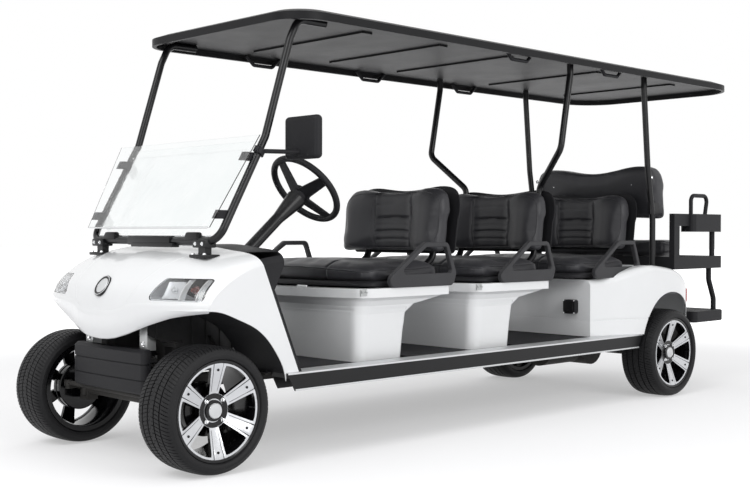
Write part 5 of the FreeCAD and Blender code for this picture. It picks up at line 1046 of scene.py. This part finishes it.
def make_hasps():
    """A plate and a wire loop on each side of the first two seat bases."""
    for row in ("front", "middle"):
        made = Shape()
        for side in SIDES:
            x, y, z = 0.5 * side, ROWS[row][0] + 0.054, 0.66
            near, far = x + 0.006 * side, x + 0.014 * side
            left, right = sorted((x, near))
            made.add(block((left, y - 0.02, z - 0.014), (right, y + 0.02, z + 0.016), 0.002))
            loop = [(near, y - 0.014, z + 0.01), (far, y - 0.014, z), (far, y + 0.014, z),
                    (near, y + 0.014, z + 0.01)]
            made.add(pipe(eased(loop, 0.006), 0.0028, 8))
        made.make("base_hasps_" + row, "body", "rim_alloy", ["zinc"], smooth=30)


def make_rear_bolts():
    """Domed bolts through the rear seat's back, seen from the front."""
    tree = skin("rear_backrest")
    made = Shape()
    for x, z in REAR_BOLTS:
        for hit in traced(tree, [(x * side, 1.0, z) for side in SIDES], REARWARD):
            made.add(spin(REAR_BOLT, hit, (0, -1, 0), 20))
    made.make("rear_back_bolts", "body", "rim_alloy", ["chrome"], smooth=30)


def make_mirror():
    """Glass let into the mirror's rear face."""
    rear = on_skin(skin("mirror"), (MIRROR_X, -1.0, MIRROR_Z), (0, -1, 0))[0].y
    points, faces = plate(squarish(0.09, 0.076, 0.4, 0.4, 48), [], lambda flat: np.zeros(len(flat)), 0.003, 0.03)
    points = [(MIRROR_X + u, rear + 0.0012 + w, MIRROR_Z + v) for u, v, w in points]
    Shape().add((points, faces)).make("mirror_glass", "body", "clear_acrylic", ["chrome"], smooth=20)


def make_socket():
    """Flap, hinge pin, lip and bolts over the charging socket's mouth."""
    x, y, z = SOCKET
    made = Shape()
    made.add(block((x - 0.03, y - 0.007, z - 0.028), (x + 0.03, y - 0.001, z + 0.03), 0.0024))
    made.add(pipe([(x - 0.026, y - 0.003, z + 0.031), (x + 0.026, y - 0.003, z + 0.031)], 0.0032, 10))
    made.add(block((x - 0.01, y - 0.011, z - 0.026), (x + 0.01, y - 0.005, z - 0.018), 0.0016))
    for dx in (-0.033, 0.033):
        for dz in (-0.033, 0.033):
            made.add(bolt((x + dx, y, z + dz), (0, -1, 0), 0.0026, 0.003), 1)
    made.make("socket_flap", "body", "black_plastic", ["smooth", "chrome"], smooth=30)


def make_front_brackets():
    """Pressed steel channels that carry the bumper."""
    made = Shape()
    y, (low, high) = BRACKET_Y, BRACKET_Z
    for side in SIDES:
        x = BRACKET_X * side
        left, right = x - BRACKET_HALF, x + BRACKET_HALF
        made.add(block((left, y, low), (right, y + 0.006, high), 0.002))
        made.add(block((left - 0.003, y, low), (left, y + 0.041, high), 0.001))
        made.add(block((right, y, low), (right + 0.003, y + 0.041, high), 0.001))
        for z in (0.48, 0.56):
            made.add(bolt((x, y, z), (0, -1, 0), 0.0065, 0.006), 1)
    made.make("bumper_brackets", "body", "black_steel", ["zinc", "chrome"], smooth=30)


def make_tail_lamps():
    """Upright ribbed lenses on the rear corners, proud of the body by a few millimetres."""
    tree = skin("rear_body")
    made = Shape()
    for side in SIDES:
        rings = []
        for i, z in enumerate(np.linspace(*TAIL_Z, TAIL_ROWS)):
            outer, inner = [], []
            for j, y in enumerate(np.linspace(*TAIL_Y, TAIL_COLUMNS)):
                hit, _ = on_skin(tree, (0.9 * side, y, z), (-side, 0, 0))
                edge = min(i, TAIL_ROWS - 1 - i, j, TAIL_COLUMNS - 1 - j)
                out = TAIL_PROUD[min(edge, 2)] + TAIL_RIB * (i % 2) * (edge > 1)
                outer.append(hit + Vector((side * out, 0, 0)))
                inner.append(hit - Vector((side * 0.001, 0, 0)))
            rings.extend(outer + inner[::-1])
        made.add(capped(rings, TAIL_ROWS))
    made.make("tail_lenses", "body", "tail_lens", ["tail"], "tail_lamps", smooth=30)


def make_pane_edges():
    """Polished lower edges of the two windshield panes."""
    for node in ("windshield_lower", "windshield_upper"):
        points = positions(joined("edge", *corners(node)))
        low = points[:, 2].min()
        line = points[points[:, 2] < low + 0.004]
        left, right, y = line[:, 0].min() + 0.012, line[:, 0].max() - 0.012, line[:, 1].mean()
        made = Shape().add(pipe([(left, y, low - 0.0005), (right, y, low - 0.0005)], 0.0032, 8))
        made.make(node + "_edge", "body", "clear_acrylic", ["chrome"], smooth=40)


for trim in (make_sill_trims, make_lamps, make_cowl_trims, make_arch_walls, make_hoop_fittings, make_hasps,
             make_rear_bolts, make_mirror, make_socket, make_front_brackets, make_tail_lamps, make_pane_edges):
    trim()
